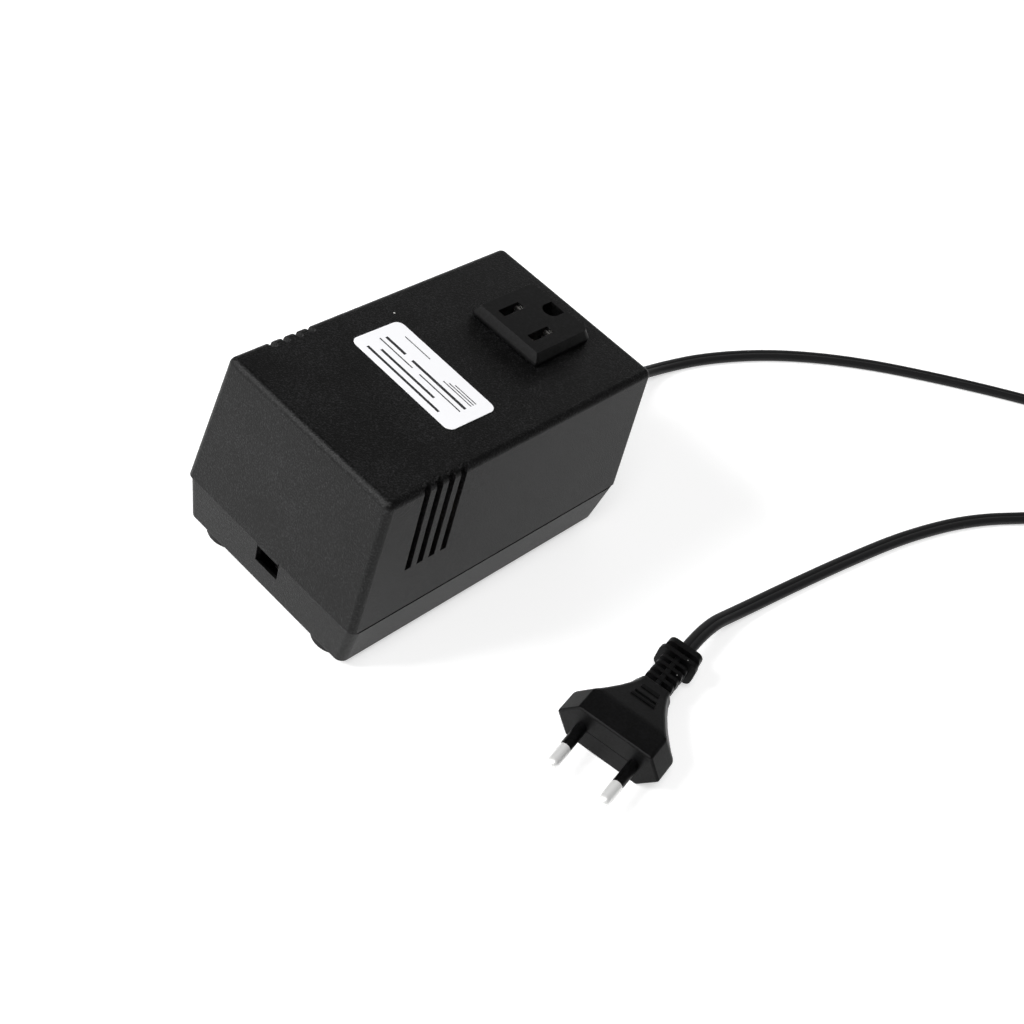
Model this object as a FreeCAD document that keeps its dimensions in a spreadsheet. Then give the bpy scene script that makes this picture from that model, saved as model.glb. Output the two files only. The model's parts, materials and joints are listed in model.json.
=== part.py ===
"""A desk-top step-down autotransformer with a mains lead and a flat two-pin plug.

Millimetres. The origin is the middle of the case on the surface that its feet
stand on. +X runs along the case to the end where the lead leaves, +Y across it
and +Z up. The plug and the lead lie on the same surface.
"""
import FreeCAD
import Part
import Sketcher
import math
import os
import re

# Driving dimensions: name, value, meaning
SIZES = (
    ("cover_foot_length", 120.3, "cover at its lower edge, along X"),
    ("cover_foot_width", 74.2, "cover at its lower edge, across"),
    ("cover_lean_along", 2.9, "lean of each end of the cover, foot to top"),
    ("cover_lean_across", 3.5, "lean of each long side of the cover, foot to top"),
    ("cover_corner_radius", 2.2, "upright corners of the cover"),
    ("cover_edge_radius", 2.3, "rounding round the top face"),
    ("top_height", 68.0, "top face above the surface"),
    ("parting_height", 19.5, "rim of the base above the surface"),
    ("seam_gap", 0.2, "open line between cover and base"),
    ("base_step", 0.7, "rim of the base inside the cover's lower edge, all round"),
    ("base_lean_along", 1.5, "lean of each end of the base, rim to underside"),
    ("base_lean_across", 1.5, "lean of each long side of the base, rim to underside"),
    ("base_corner_radius", 2.8, "upright corners of the base"),
    ("base_edge_radius", 0.8, "rounding round the underside"),
    ("wall", 2.2, "moulded wall of cover and base"),
    ("fit_gap", 0.2, "play between moulded parts that go together"),
    ("tongue_wall", 1.2, "thickness of the locating tongue on the rim"),
    ("tongue_height", 2.0, "tongue above the rim"),
    ("foot_height", 3.0, "underside of the base above the surface"),
    ("foot_radius", 7.5, "rubber foot"),
    ("foot_recess", 0.5, "depth of the seat of a foot"),
    ("foot_edge_radius", 0.7, "rounding of a foot"),
    ("vent_count", 4, "vent slots on each long side"),
    ("vent_width", 2.4, "one vent slot"),
    ("vent_pitch", 4.8, "from slot to slot"),
    ("vent_inset", 24.95, "middle of the row of slots from the near end of the cover"),
    ("vent_foot", 35.0, "lower end of the slots"),
    ("vent_reach", 3.0, "how far the slots come in from the edge of the top"),
    ("notch_width", 9.6, "cable notch in each end of the base"),
    ("notch_low", 12.3, "lower edge of the notch"),
    ("notch_high", 18.0, "lower edge of the cover's tab over the notch"),
    ("post_inset_along", 10.55, "case screw from the end of the cover"),
    ("post_inset_across", 12.9, "case screw from the long side of the cover"),
    ("post_radius", 4.2, "screw post of the base"),
    ("boss_radius", 3.8, "screw boss of the cover"),
    ("screw_radius", 1.4, "shank of a case screw"),
    ("screw_length", 22.0, "shank of a case screw"),
    ("screw_hole_radius", 1.7, "clearance hole in the post"),
    ("screw_head_radius", 2.9, "head of a case screw"),
    ("screw_head_height", 2.2, "head of a case screw"),
    ("screw_well_radius", 3.4, "well for the screw head"),
    ("screw_seat", 9.5, "height of the seat under the screw head"),
    ("thread_gap", 0.03, "play between a screw and its pilot hole"),
    ("outlet_inset", 24.85, "middle of the outlet from the far end of the cover"),
    ("outlet_rise", 4.4, "outlet face above the top face"),
    ("flange_length", 26.2, "outlet flange along X"),
    ("flange_width", 27.7, "outlet flange across"),
    ("flange_step", 1.85, "upright edge of the flange"),
    ("face_length", 24.1, "flat outlet face along X"),
    ("face_width", 24.6, "flat outlet face across"),
    ("face_round", 3.4, "far corners of the outlet face"),
    ("face_sharp", 0.5, "near corners of the outlet face"),
    ("outlet_body_length", 23.8, "outlet behind the flange, along X"),
    ("outlet_body_width", 24.4, "outlet behind the flange, across"),
    ("outlet_depth", 16.0, "outlet below the top face, without its cap"),
    ("outlet_cap", 3.0, "back cap of the outlet"),
    ("outlet_face", 3.0, "thickness of the outlet face"),
    ("latch_reach", 1.0, "snap latch under the cover"),
    ("latch_height", 6.0, "snap latch"),
    ("latch_length", 8.0, "snap latch along X"),
    ("blade_spacing", 12.7, "from blade slot to blade slot"),
    ("blade_offset", 4.3, "middle of the blade slots from the middle of the outlet"),
    ("blade_slot_length", 9.2, "blade slot"),
    ("blade_slot_width", 2.9, "blade slot"),
    ("ground_offset", 11.9, "from the blade line to the ground pin"),
    ("ground_radius", 2.9, "round side of the ground hole"),
    ("ground_flat", 3.1, "from the ground pin to the flat side of its hole"),
    ("contact_strip", 0.7, "thickness of the contact strip"),
    ("blade_grip", 1.3, "gap of a blade contact"),
    ("ground_grip", 4.6, "gap of the ground contact"),
    ("blade_contact_length", 7.6, "blade contact along X"),
    ("ground_contact_length", 5.0, "ground contact along X"),
    ("contact_sink", 2.6, "top of the contact leaves below the top face"),
    ("contact_wall", 0.6, "room between a contact and its chamber"),
    ("tail_length", 6.0, "contact tail below the back cap"),
    ("tail_width", 4.0, "contact tail along X"),
    ("core_near_room", 8.15, "laminations from the near end of the cover"),
    ("core_far_room", 46.15, "laminations from the far end of the cover"),
    ("core_head_room", 6.5, "laminations below the top face"),
    ("core_side_room", 19.6, "laminations from each long side of the cover"),
    ("core_foot", 6.5, "underside of the core above the surface"),
    ("bolt_radius", 1.75, "core bolt"),
    ("bolt_hole_radius", 1.9, "hole for a core bolt"),
    ("bolt_head_radius", 3.1, "head of a core bolt"),
    ("bolt_head_height", 1.8, "head of a core bolt"),
    ("nut_radius", 3.1, "core nut across its corners, halved"),
    ("nut_height", 2.0, "core nut"),
    ("bobbin_wall", 1.2, "wall and flanges of the bobbin"),
    ("bobbin_overhang", 10.5, "flange of the bobbin past the stack"),
    ("bobbin_gap", 0.3, "play of the bobbin on the core"),
    ("common_share", 0.36, "common winding's part of the winding window"),
    ("series_share", 0.33, "series winding's part of the winding window"),
    ("tape_build", 0.4, "thickness of the winding tape"),
    ("layer_gap", 0.1, "between bobbin, windings and tape"),
    ("tag_length", 2.5, "solder tag along X"),
    ("tag_strip", 0.6, "solder tag across"),
    ("tag_rise", 6.2, "solder tag above its flange"),
    ("tag_seat", 0.8, "solder tag in its flange"),
    ("tag_pitch", 11.0, "from tag to tag"),
    ("tag_offset", 7.7, "line of the tags outside the laminations"),
    ("pad_height", 2.0, "pad between the cover and the core"),
    ("pad_margin", 2.75, "laminations past the pad, all round"),
    ("rib_thickness", 1.6, "stop ribs of the base"),
    ("stop_top", 14.0, "top of the stop ribs"),
    ("label_length", 43.0, "label across the case"),
    ("label_width", 19.7, "label along the case"),
    ("label_corner", 2.5, "label corners"),
    ("label_thickness", 0.15, "label"),
    ("label_offset", 46.7, "middle of the label from the middle of the outlet"),
    ("label_side", 0.8, "middle of the label across"),
    ("label_turn", -1.1, "turn of the label in degrees"),
    ("cord_width", 5.0, "flat lead across"),
    ("cord_thickness", 3.2, "flat lead, upright"),
    ("core_wire_radius", 0.9, "insulated inner wire"),
    ("inner_inset", 20.15, "inner end of the sheath from the far end of the cover"),
    ("grommet_nose", 20.2, "tapered strain relief outside the base"),
    ("nose_tip_width", 6.8, "strain relief at its tip, across"),
    ("nose_tip_height", 4.7, "strain relief at its tip, upright"),
    ("grommet_flange", 1.5, "grommet flange inside the base"),
    ("clamp_inset", 14.15, "cable clamp from the far end of the cover"),
    ("clamp_length", 5.0, "cable clamp along X"),
    ("clamp_width", 20.0, "cable clamp across"),
    ("clamp_bar", 2.5, "thickness of the clamp bar"),
    ("clamp_pitch", 14.0, "from clamp screw to clamp screw"),
    ("clamp_screw_radius", 1.2, "shank of a clamp screw"),
    ("clamp_screw_length", 11.0, "shank of a clamp screw"),
    ("clamp_head_radius", 2.3, "head of a clamp screw"),
    ("clamp_head_height", 1.6, "head of a clamp screw"),
    ("coil_entry_along", 308.9, "where the lead enters the coil, along X"),
    ("coil_entry_across", -120.9, "where the lead enters the coil, across"),
    ("coil_radius", 34.5, "outermost turn of the put-away coil, to its middle line"),
    ("coil_pitch", 5.6, "from turn to turn across the coil"),
    ("coil_rise", 3.9, "from the lower to the upper layer"),
    ("coil_turns", 3, "half-turns of the upper layer"),
    ("coil_start", 40.0, "direction of the coil's ends from its middle, in degrees"),
    ("cord_rest", 1.72, "middle line of the lead where it lies on the surface"),
    ("plug_along", -13.7, "face of the plug along X"),
    ("plug_across", -103.1, "face of the plug across"),
    ("plug_turn", -169.5, "direction of the pins in degrees"),
    ("plug_width", 36.0, "plug body"),
    ("plug_height", 13.7, "plug body"),
    ("plug_flat", 22.6, "flat between the bevels of the plug body"),
    ("plug_block", 10.8, "full-width length of the plug body"),
    ("plug_slope", 17.2, "sloping length behind the block"),
    ("plug_neck", 29.2, "from the face to the end of the neck"),
    ("neck_width", 9.6, "neck of the plug"),
    ("neck_height", 7.5, "neck of the plug"),
    ("relief_pitch", 3.08, "from fin to fin of the strain relief"),
    ("relief_slot", 1.65, "gap between two fins"),
    ("relief_fins", 4, "fins between the neck and the collar"),
    ("relief_core_width", 5.2, "core of the strain relief"),
    ("relief_core_height", 4.4, "core of the strain relief"),
    ("relief_spine", 1.8, "spine over the fins"),
    ("collar_width", 13.6, "wide ring of the collar"),
    ("collar_height", 8.8, "rings of the collar"),
    ("collar_length", 3.4, "wide ring along the plug"),
    ("collar_gap", 2.2, "between the rings of the collar"),
    ("collar_end_width", 11.4, "end ring of the collar"),
    ("collar_end_length", 2.8, "end ring along the plug"),
    ("collar_round", 2.2, "corners of the rings"),
    ("grip_bar", 1.0, "grip bars on the plug, along it"),
    ("grip_rise", 0.4, "grip bars above the slope"),
    ("pin_spacing", 18.6, "between the pins at the face"),
    ("pin_turn", 0.9, "each pin leans in, degrees"),
    ("pin_length", 19.0, "pin in front of the face"),
    ("pin_radius", 2.0, "bare end of a pin"),
    ("pin_shank_radius", 1.5, "pin inside its sleeve"),
    ("pin_bare", 9.0, "bare end of a pin"),
    ("pin_root", 12.0, "pin behind the face"),
    ("sleeve_radius", 1.8, "insulating sleeve"),
    ("sleeve_root", 1.5, "sleeve behind the face"),
    ("seat_gap", 0.03, "play between a pin and what holds it"),
)

# Sizes that follow from the driving ones, each from those above it
FOLLOWING = (
    ("cover_top_length", "cover_foot_length - 2 * cover_lean_along"),
    ("cover_top_width", "cover_foot_width - 2 * cover_lean_across"),
    ("base_rim_length", "cover_foot_length - 2 * base_step"),
    ("base_rim_width", "cover_foot_width - 2 * base_step"),
    ("base_floor_length", "base_rim_length - 2 * base_lean_along"),
    ("base_floor_width", "base_rim_width - 2 * base_lean_across"),
    ("vent_centre", "vent_inset - cover_foot_length / 2"),
    ("post_along", "cover_foot_length / 2 - post_inset_along"),
    ("post_across", "cover_foot_width / 2 - post_inset_across"),
    ("outlet_middle", "cover_foot_length / 2 - outlet_inset"),
    ("blade_line", "outlet_middle - blade_offset"),
    ("label_middle", "outlet_middle - label_offset"),
    ("contact_top", "top_height - contact_sink"),
    ("core_length", "cover_foot_length - core_near_room - core_far_room"),
    ("core_middle", "(core_near_room - core_far_room) / 2"),
    ("core_limb", "core_length / 6"),
    ("common_build", "common_share * core_limb"),
    ("series_build", "series_share * core_limb"),
    ("core_rise", "top_height - core_head_room - core_foot"),
    ("core_stack", "cover_foot_width - 2 * core_side_room"),
    ("tag_line", "core_stack / 2 + tag_offset"),
    ("pad_length", "core_length - 2 * pad_margin"),
    ("pad_width", "core_stack - 2 * pad_margin"),
    ("inner_end", "cover_foot_length / 2 - inner_inset"),
    ("clamp_middle", "cover_foot_length / 2 - clamp_inset"),
)

doc = FreeCAD.newDocument("Autotransformer")
sheet = doc.addObject("Spreadsheet::Sheet", "Sizes")
for row, (alias, number, meaning) in enumerate(SIZES, start=1):
    sheet.set(f"A{row}", meaning)
    sheet.set(f"B{row}", str(number))
    sheet.setAlias(f"B{row}", alias)
sheet.recompute()
scratch = doc.addObject("Spreadsheet::Sheet", "Scratch")

ALIASES = re.compile(r"\b(" + "|".join(alias for alias, number, meaning in SIZES) + r")\b")
WORKING_CELL = "A1"
UP = FreeCAD.Vector(0, 0, 1)
nodes = []


def spelled(text):
    """An expression with each size that follows written out in the sheet's names."""
    for name, formula in reversed(FOLLOWING):
        text = re.sub(rf"\b{name}\b", f"({formula})", text)
    return ALIASES.sub(r"Sizes.\1", text)


def value(text):
    """Works out an expression of the named sizes and returns the number."""
    scratch.set(WORKING_CELL, "=" + spelled(text))
    scratch.recompute()
    return float(scratch.get(WORKING_CELL))


def bind(item, bindings):
    """Binds properties of an object to expressions of the sheet's names."""
    for name, text in bindings.items():
        item.setExpression(name, spelled(text))


def at(item, x, y, z):
    """Binds the place of an object."""
    places = {"Placement.Base.x": x, "Placement.Base.y": y, "Placement.Base.z": z}
    bind(item, {name: text for name, text in places.items() if text != "0"})


def node(item, label):
    """Keeps an object as a sub-part under its label."""
    item.Label = label
    nodes.append(item)
    return item


# Primitives and booleans
def box(name, x, y, z, length, width, height, body=None, kind="Additive"):
    """A box with its low corner at x, y, z, alone or as a feature of a body."""
    if body:
        item = body.newObject(f"PartDesign::{kind}Box", name)
        body.Tip = item
    else:
        item = doc.addObject("Part::Box", name)
    bind(item, {"Length": length, "Width": width, "Height": height})
    at(item, x, y, z)
    return item


def cylinder(name, x, y, z, radius, height, axis="Z", body=None, kind="Additive"):
    """A cylinder from x, y, z along an axis, alone or as a feature of a body."""
    if body:
        item = body.newObject(f"PartDesign::{kind}Cylinder", name)
        body.Tip = item
    else:
        item = doc.addObject("Part::Cylinder", name)
    turns = {"Z": (UP, 0), "X": (FreeCAD.Vector(0, 1, 0), 90), "Y": (FreeCAD.Vector(1, 0, 0), -90)}
    item.Placement.Rotation = FreeCAD.Rotation(*turns[axis])
    bind(item, {"Radius": radius, "Height": height})
    at(item, x, y, z)
    return item


def fuse(name, *parts):
    """Several objects made into one."""
    item = doc.addObject("Part::MultiFuse", name)
    item.Shapes = list(parts)
    return item


def cut(name, base, tool):
    """One object with another taken out of it."""
    item = doc.addObject("Part::Cut", name)
    item.Base = base
    item.Tool = tool
    return item


def common(name, *parts):
    """What several objects share."""
    item = doc.addObject("Part::MultiCommon", name)
    item.Shapes = list(parts)
    return item


def group(name, parts):
    """Separate solids kept as one sub-part."""
    item = doc.addObject("Part::Compound", name)
    item.Links = list(parts)
    return item


# Sketches
def sketch(name, height="0", body=None, facing="Z"):
    """A sketch at a height, in a body or by itself.

    By itself it can also face +X, with its own X along Y, or -Y, with its own X along X.
    """
    if not body:
        item = doc.addObject("Sketcher::SketchObject", name)
        turns = {"Z": (UP, 0), "X": (FreeCAD.Vector(1, 1, 1), 120), "-Y": (FreeCAD.Vector(1, 0, 0), 90)}
        item.Placement.Rotation = FreeCAD.Rotation(*turns[facing])
        if facing == "Z":
            at(item, "0", "0", height)
        return item
    item = body.newObject("Sketcher::SketchObject", name)
    plane = next(part for part in body.Origin.OriginFeatures if part.Role == "XY_Plane")
    item.AttachmentSupport = [(plane, "")]
    item.MapMode = "FlatFace"
    if height != "0":
        bind(item, {"AttachmentOffset.Base.z": height})
    return item


def measure(drawing, kind, name, text, *where):
    """Adds a named constraint whose size follows an expression."""
    number = value(text)
    index = drawing.addConstraint(Sketcher.Constraint(kind, *where, number))
    drawing.renameConstraint(index, name)
    bind(drawing, {f"Constraints.{name}": text})


def rounded_rectangle(drawing, length, width, near, far=None, mark="outer"):
    """Draws a rectangle round the sketch's origin with rounded corners.

    The corners towards -X have the radius near, those towards +X far.
    """
    far = far or near
    half_length, half_width = value(length) / 2, value(width) / 2
    point = FreeCAD.Vector
    corners = [(1, -1, value(far)), (1, 1, value(far)), (-1, 1, value(near)), (-1, -1, value(near))]
    arcs, ends = [], []
    for index, (side, across, radius) in enumerate(corners):
        middle = point(side * (half_length - radius), across * (half_width - radius), 0)
        start = (index - 1) * math.pi / 2
        circle = Part.Circle(middle, UP, radius)
        arcs.append(drawing.addGeometry(Part.ArcOfCircle(circle, start, start + math.pi / 2)))
        ends.append([middle + point(math.cos(turn), math.sin(turn), 0) * radius
                     for turn in (start, start + math.pi / 2)])
    lines = [drawing.addGeometry(Part.LineSegment(ends[index][1], ends[(index + 1) % 4][0]))
             for index in range(4)]
    for index in range(4):
        drawing.addConstraint(Sketcher.Constraint("Tangent", arcs[index], 2, lines[index], 1))
        drawing.addConstraint(Sketcher.Constraint("Tangent", lines[index], 2, arcs[(index + 1) % 4], 1))
    for index in (1, 3):
        drawing.addConstraint(Sketcher.Constraint("Horizontal", lines[index]))
    for index in (0, 2):
        drawing.addConstraint(Sketcher.Constraint("Vertical", lines[index]))
    drawing.addConstraint(Sketcher.Constraint("Equal", arcs[0], arcs[1]))
    drawing.addConstraint(Sketcher.Constraint("Equal", arcs[2], arcs[3]))
    measure(drawing, "DistanceX", f"{mark}_right", f"({length}) / 2", -1, 1, lines[0], 1)
    measure(drawing, "DistanceX", f"{mark}_left", f"({length}) / 2", lines[2], 1, -1, 1)
    measure(drawing, "DistanceY", f"{mark}_back", f"({width}) / 2", -1, 1, lines[1], 1)
    measure(drawing, "DistanceY", f"{mark}_front", f"({width}) / 2", lines[3], 1, -1, 1)
    measure(drawing, "Radius", f"{mark}_far", far, arcs[0])
    measure(drawing, "Radius", f"{mark}_near", near, arcs[2])


def outline(drawing, points):
    """Draws a closed outline through points given as pairs of expressions."""
    places = [FreeCAD.Vector(value(x), value(y), 0) for x, y in points]
    count = len(places)
    lines = [drawing.addGeometry(Part.LineSegment(places[index], places[(index + 1) % count]))
             for index in range(count)]
    for index in range(count):
        drawing.addConstraint(Sketcher.Constraint("Coincident", lines[index - 1], 2, lines[index], 1))
    for index, (x, y) in enumerate(points):
        for kind, text, axis in (("DistanceX", x, -2), ("DistanceY", y, -1)):
            if text == "0":
                drawing.addConstraint(Sketcher.Constraint("PointOnObject", lines[index], 1, axis))
            else:
                measure(drawing, kind, f"{kind[-1].lower()}{index}", text, -1, 1, lines[index], 1)


def extrusion(name, drawing, height):
    """A sketch drawn out along its normal."""
    item = doc.addObject("Part::Extrusion", name)
    item.Base = drawing
    item.DirMode = "Normal"
    item.Solid = True
    bind(item, {"LengthFwd": height})
    return item


def tapered(body, name, kind, low, high):
    """A block of a body that tapers between two levels, each given as length, width and height."""
    item = body.newObject(f"PartDesign::{kind}Wedge", name)
    item.Placement.Rotation = FreeCAD.Rotation(FreeCAD.Vector(1, 0, 0), 90)
    (length, width, foot), (top_length, top_width, top) = low, high
    bind(item, {"Xmin": f"-({length}) / 2", "Xmax": f"({length}) / 2", "Zmin": f"-({width}) / 2",
                "Zmax": f"({width}) / 2", "X2min": f"-({top_length}) / 2", "X2max": f"({top_length}) / 2",
                "Z2min": f"-({top_width}) / 2", "Z2max": f"({top_width}) / 2", "Ymin": "0 * wall",
                "Ymax": f"{top} - ({foot})"})
    at(item, "0", "0", foot)
    body.Tip = item
    return item


def round_edges(body, name, radius, height=None):
    """Rounds a body's edges that lie level at a height, or those that run upwards."""
    doc.recompute()
    base = body.Tip
    edges = []
    for index, edge in enumerate(base.Shape.Edges, start=1):
        levels = [corner.Z for corner in edge.Vertexes]
        if height and all(abs(level - value(height)) < 1e-4 for level in levels):
            edges.append(f"Edge{index}")
        if not height and max(levels) - min(levels) > 1:
            edges.append(f"Edge{index}")
    item = body.newObject("PartDesign::Fillet", name)
    item.Base = (base, edges)
    bind(item, {"Radius": radius})
    body.Tip = item
    return item


def shell(label, low, high, corner):
    """A body with a tapered block between two levels, its upright edges rounded."""
    body = doc.addObject("PartDesign::Body", label)
    tapered(body, label + "_block", "Additive", low, high)
    round_edges(body, label + "_corners", corner)
    return body


SIDES = (("a", "-"), ("b", ""))
CORNERS = [(one + two, first, second) for one, first in SIDES for two, second in SIDES]


def signed(sign, text):
    """An expression with a sign before it."""
    return f"{sign}({text})" if sign else f"({text})"


# Case
def make_cover():
    """The tapered cover: rounded shell, vents, outlet window, bosses and tabs."""
    bottom = "parting_height + seam_gap"
    ceiling = "top_height - wall"
    body = shell("top_cover", ("cover_foot_length", "cover_foot_width", bottom),
                 ("cover_top_length", "cover_top_width", "top_height"), "cover_corner_radius")
    round_edges(body, "cover_edge", "cover_edge_radius", "top_height")
    taper_x = "(cover_foot_length - cover_top_length) / (top_height - parting_height - seam_gap) * wall"
    taper_y = "(cover_foot_width - cover_top_width) / (top_height - parting_height - seam_gap) * wall"
    tapered(body, "cover_room", "Subtractive",
            ("cover_foot_length - 2 * wall", "cover_foot_width - 2 * wall", bottom),
            (f"cover_top_length - 2 * wall + {taper_x}", f"cover_top_width - 2 * wall + {taper_y}", ceiling))
    for mark, along, across in CORNERS:
        place = (signed(along, "post_along"), signed(across, "post_across"))
        cylinder(f"boss_{mark}", *place, "parting_height + seat_gap", "boss_radius",
                 f"{ceiling} - parting_height", body=body)
        cylinder(f"pilot_{mark}", *place, "parting_height", "screw_radius + thread_gap",
                 "screw_seat + screw_length + 1.5 - parting_height", body=body, kind="Subtractive")
    for mark, along in SIDES:
        box(f"press_rib_{mark}", f"core_middle {along or '+'} core_length / 3 - rib_thickness",
            "-pad_width / 2", "core_foot + core_rise + pad_height", "2 * rib_thickness", "pad_width",
            f"{ceiling} - core_foot - core_rise - pad_height", body=body)
        low_x = "-(base_rim_length / 2)" if along else "base_rim_length / 2 - wall"
        box(f"tab_{mark}", low_x, "fit_gap - notch_width / 2", "notch_high", "wall",
            "notch_width - 2 * fit_gap", "parting_height + 3 * seam_gap - notch_high", body=body)
    box("outlet_window", "outlet_middle - outlet_body_length / 2 - fit_gap",
        "-(outlet_body_width / 2) - fit_gap", f"{ceiling} - wall", "outlet_body_length + 2 * fit_gap",
        "outlet_body_width + 2 * fit_gap", "3 * wall", body=body, kind="Subtractive")
    vents = []
    first = "vent_centre - vent_pitch * (vent_count - 1) / 2"
    reach = "cover_top_width / 2 - vent_reach + vent_width / 2"
    length = "cover_foot_width / 2"
    rise = "top_height - vent_foot + wall"
    for mark, across in SIDES:
        low_y = f"-({reach}) - {length}" if across else reach
        vents.append(box(f"vent_{mark}", f"{first} - vent_width / 2", low_y, "vent_foot", "vent_width",
                         length, rise, body=body, kind="Subtractive"))
        vents.append(cylinder(f"vent_end_{mark}", first, signed(across, reach), "vent_foot",
                              "vent_width / 2", rise, body=body, kind="Subtractive"))
    pattern = body.newObject("PartDesign::LinearPattern", "vent_row")
    pattern.Originals = vents
    pattern.Direction = (next(part for part in body.Origin.OriginFeatures if part.Role == "X_Axis"), [""])
    bind(pattern, {"Length": "vent_pitch * (vent_count - 1)", "Occurrences": "vent_count"})
    body.Tip = pattern
    return node(body, "top_cover")


def make_base():
    """The base tray: tapered shell, tongue, posts, foot seats, stops and notches."""
    floor = "foot_height + wall"
    body = shell("base_tray", ("base_floor_length", "base_floor_width", "foot_height"),
                 ("base_rim_length", "base_rim_width", "parting_height"), "base_corner_radius")
    round_edges(body, "base_edge", "base_edge_radius", "foot_height")
    taper_x = "(base_rim_length - base_floor_length) / (parting_height - foot_height) * wall"
    taper_y = "(base_rim_width - base_floor_width) / (parting_height - foot_height) * wall"
    tapered(body, "base_room", "Subtractive",
            (f"base_floor_length - 2 * wall + {taper_x}", f"base_floor_width - 2 * wall + {taper_y}", floor),
            ("base_rim_length - 2 * wall", "base_rim_width - 2 * wall", "parting_height"))
    ring = sketch("tongue_ring", "parting_height - tongue_height", body)
    outer = ("cover_foot_length - 2 * wall - 2 * fit_gap", "cover_foot_width - 2 * wall - 2 * fit_gap")
    rounded_rectangle(ring, *outer, "cover_corner_radius - wall + 0.4")
    rounded_rectangle(ring, *(f"{text} - 2 * tongue_wall" for text in outer), "0.6", mark="inner")
    tongue = body.newObject("PartDesign::Pad", "tongue")
    tongue.Profile = ring
    bind(tongue, {"Length": "2 * tongue_height"})
    body.Tip = tongue
    for mark, along, across in CORNERS:
        place = (signed(along, "post_along"), signed(across, "post_across"))
        cylinder(f"post_{mark}", *place, "foot_height + foot_recess", "post_radius",
                 "parting_height - foot_height - foot_recess", body=body)
        cylinder(f"foot_seat_{mark}", *place, "foot_height - wall", "foot_radius + fit_gap",
                 "foot_recess + wall", body=body, kind="Subtractive")
        cylinder(f"screw_well_{mark}", *place, "foot_height", "screw_well_radius",
                 "screw_seat - foot_height", body=body, kind="Subtractive")
        cylinder(f"screw_hole_{mark}", *place, "foot_height", "screw_hole_radius",
                 "parting_height", body=body, kind="Subtractive")
    for mark, along in SIDES:
        box(f"rail_{mark}", f"core_middle {along or '+'} core_length / 3 - rib_thickness",
            "-(core_stack / 2)", "foot_height + foot_recess", "2 * rib_thickness", "core_stack",
            "core_foot - foot_height - foot_recess", body=body)
        low_x = "core_middle - core_length / 2 - fit_gap - rib_thickness" if along else \
            "core_middle + core_length / 2 + fit_gap"
        box(f"end_stop_{mark}", low_x, "-(core_stack / 3)", "foot_height + foot_recess", "rib_thickness",
            "core_stack * 2 / 3", "stop_top - foot_height - foot_recess", body=body)
        for other, across in SIDES:
            low_y = "-(core_stack / 2) - fit_gap - rib_thickness" if across else "core_stack / 2 + fit_gap"
            box(f"side_stop_{mark}{other}", f"core_middle {along or '+'} core_length / 4 - 3 * rib_thickness",
                low_y, "foot_height + foot_recess", "6 * rib_thickness", "rib_thickness",
                "stop_top - foot_height - foot_recess", body=body)
    saddle = "(notch_low + notch_high - cord_thickness) / 2"
    box("clamp_saddle", "clamp_middle - clamp_length / 2", "-(clamp_width / 2)",
        "foot_height + foot_recess", "clamp_length", "clamp_width",
        f"{saddle} - foot_height - foot_recess", body=body)
    for mark, across in SIDES:
        place = ("clamp_middle", signed(across, "clamp_pitch / 2"))
        cylinder(f"clamp_post_{mark}", *place, "foot_height + foot_recess", "clamp_length / 2",
                 f"{saddle} + cord_thickness - fit_gap - foot_height - foot_recess", body=body)
        cylinder(f"clamp_pilot_{mark}", *place, f"{saddle} + cord_thickness + clamp_bar - clamp_screw_length - 1",
                 "clamp_screw_radius + thread_gap", "clamp_screw_length + 1", body=body, kind="Subtractive")
    for mark, along in SIDES:
        low_x = "-(base_rim_length / 2) - wall" if along else "base_rim_length / 2 - 2 * wall"
        box(f"notch_{mark}", low_x, "-(notch_width / 2)", "notch_low", "3 * wall", "notch_width",
            "parting_height + 2 * tongue_height - notch_low", body=body, kind="Subtractive")
    return node(body, "base_tray")


def make_feet():
    """Four round rubber feet, stuck in their seats."""
    feet = []
    for mark, along, across in CORNERS:
        body = doc.addObject("PartDesign::Body", f"foot_{mark}")
        cylinder(f"foot_disc_{mark}", "0", "0", "0", "foot_radius", "foot_height + foot_recess", body=body)
        round_edges(body, f"foot_edge_{mark}", "foot_edge_radius", "0 * wall")
        at(body, signed(along, "post_along"), signed(across, "post_across"), "0")
        feet.append(body)
    return node(group("feet", feet), "rubber_feet")


def make_case_screws():
    """Four screws from below, under the feet."""
    screws = []
    for mark, along, across in CORNERS:
        place = (signed(along, "post_along"), signed(across, "post_across"))
        head = cylinder(f"case_head_{mark}", *place, "screw_seat - screw_head_height", "screw_head_radius",
                        "screw_head_height")
        shank = cylinder(f"case_shank_{mark}", *place, "screw_seat - screw_head_height", "screw_radius",
                         "screw_head_height + screw_length")
        screws.append(fuse(f"case_screw_{mark}", head, shank))
    return node(group("case_screws", screws), "housing_screws")


def make_label():
    """The blank label on the top face."""
    drawing = sketch("label_outline", "top_height")
    rounded_rectangle(drawing, "label_width", "label_length", "label_corner")
    bind(drawing, {"Placement.Base.x": "label_middle", "Placement.Base.y": "label_side"})
    bind(drawing, {"Placement.Rotation.Angle": "label_turn * 1 deg"})
    return node(extrusion("label", drawing, "label_thickness"), "rating_label")


# Outlet
LIVE = "blade_spacing / 2"
NEUTRAL = "-(blade_spacing / 2)"
GROUND = "blade_line + ground_offset"
OUTLET_BACK = "top_height - outlet_depth"
BLADES = (("line", LIVE), ("neutral", NEUTRAL))


def block(name, middle_x, middle_y, low, length, width, height):
    """A box about an upright line, from a height up."""
    return box(name, f"{middle_x} - ({length}) / 2", f"{middle_y} - ({width}) / 2", low,
               length, width, height)


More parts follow.
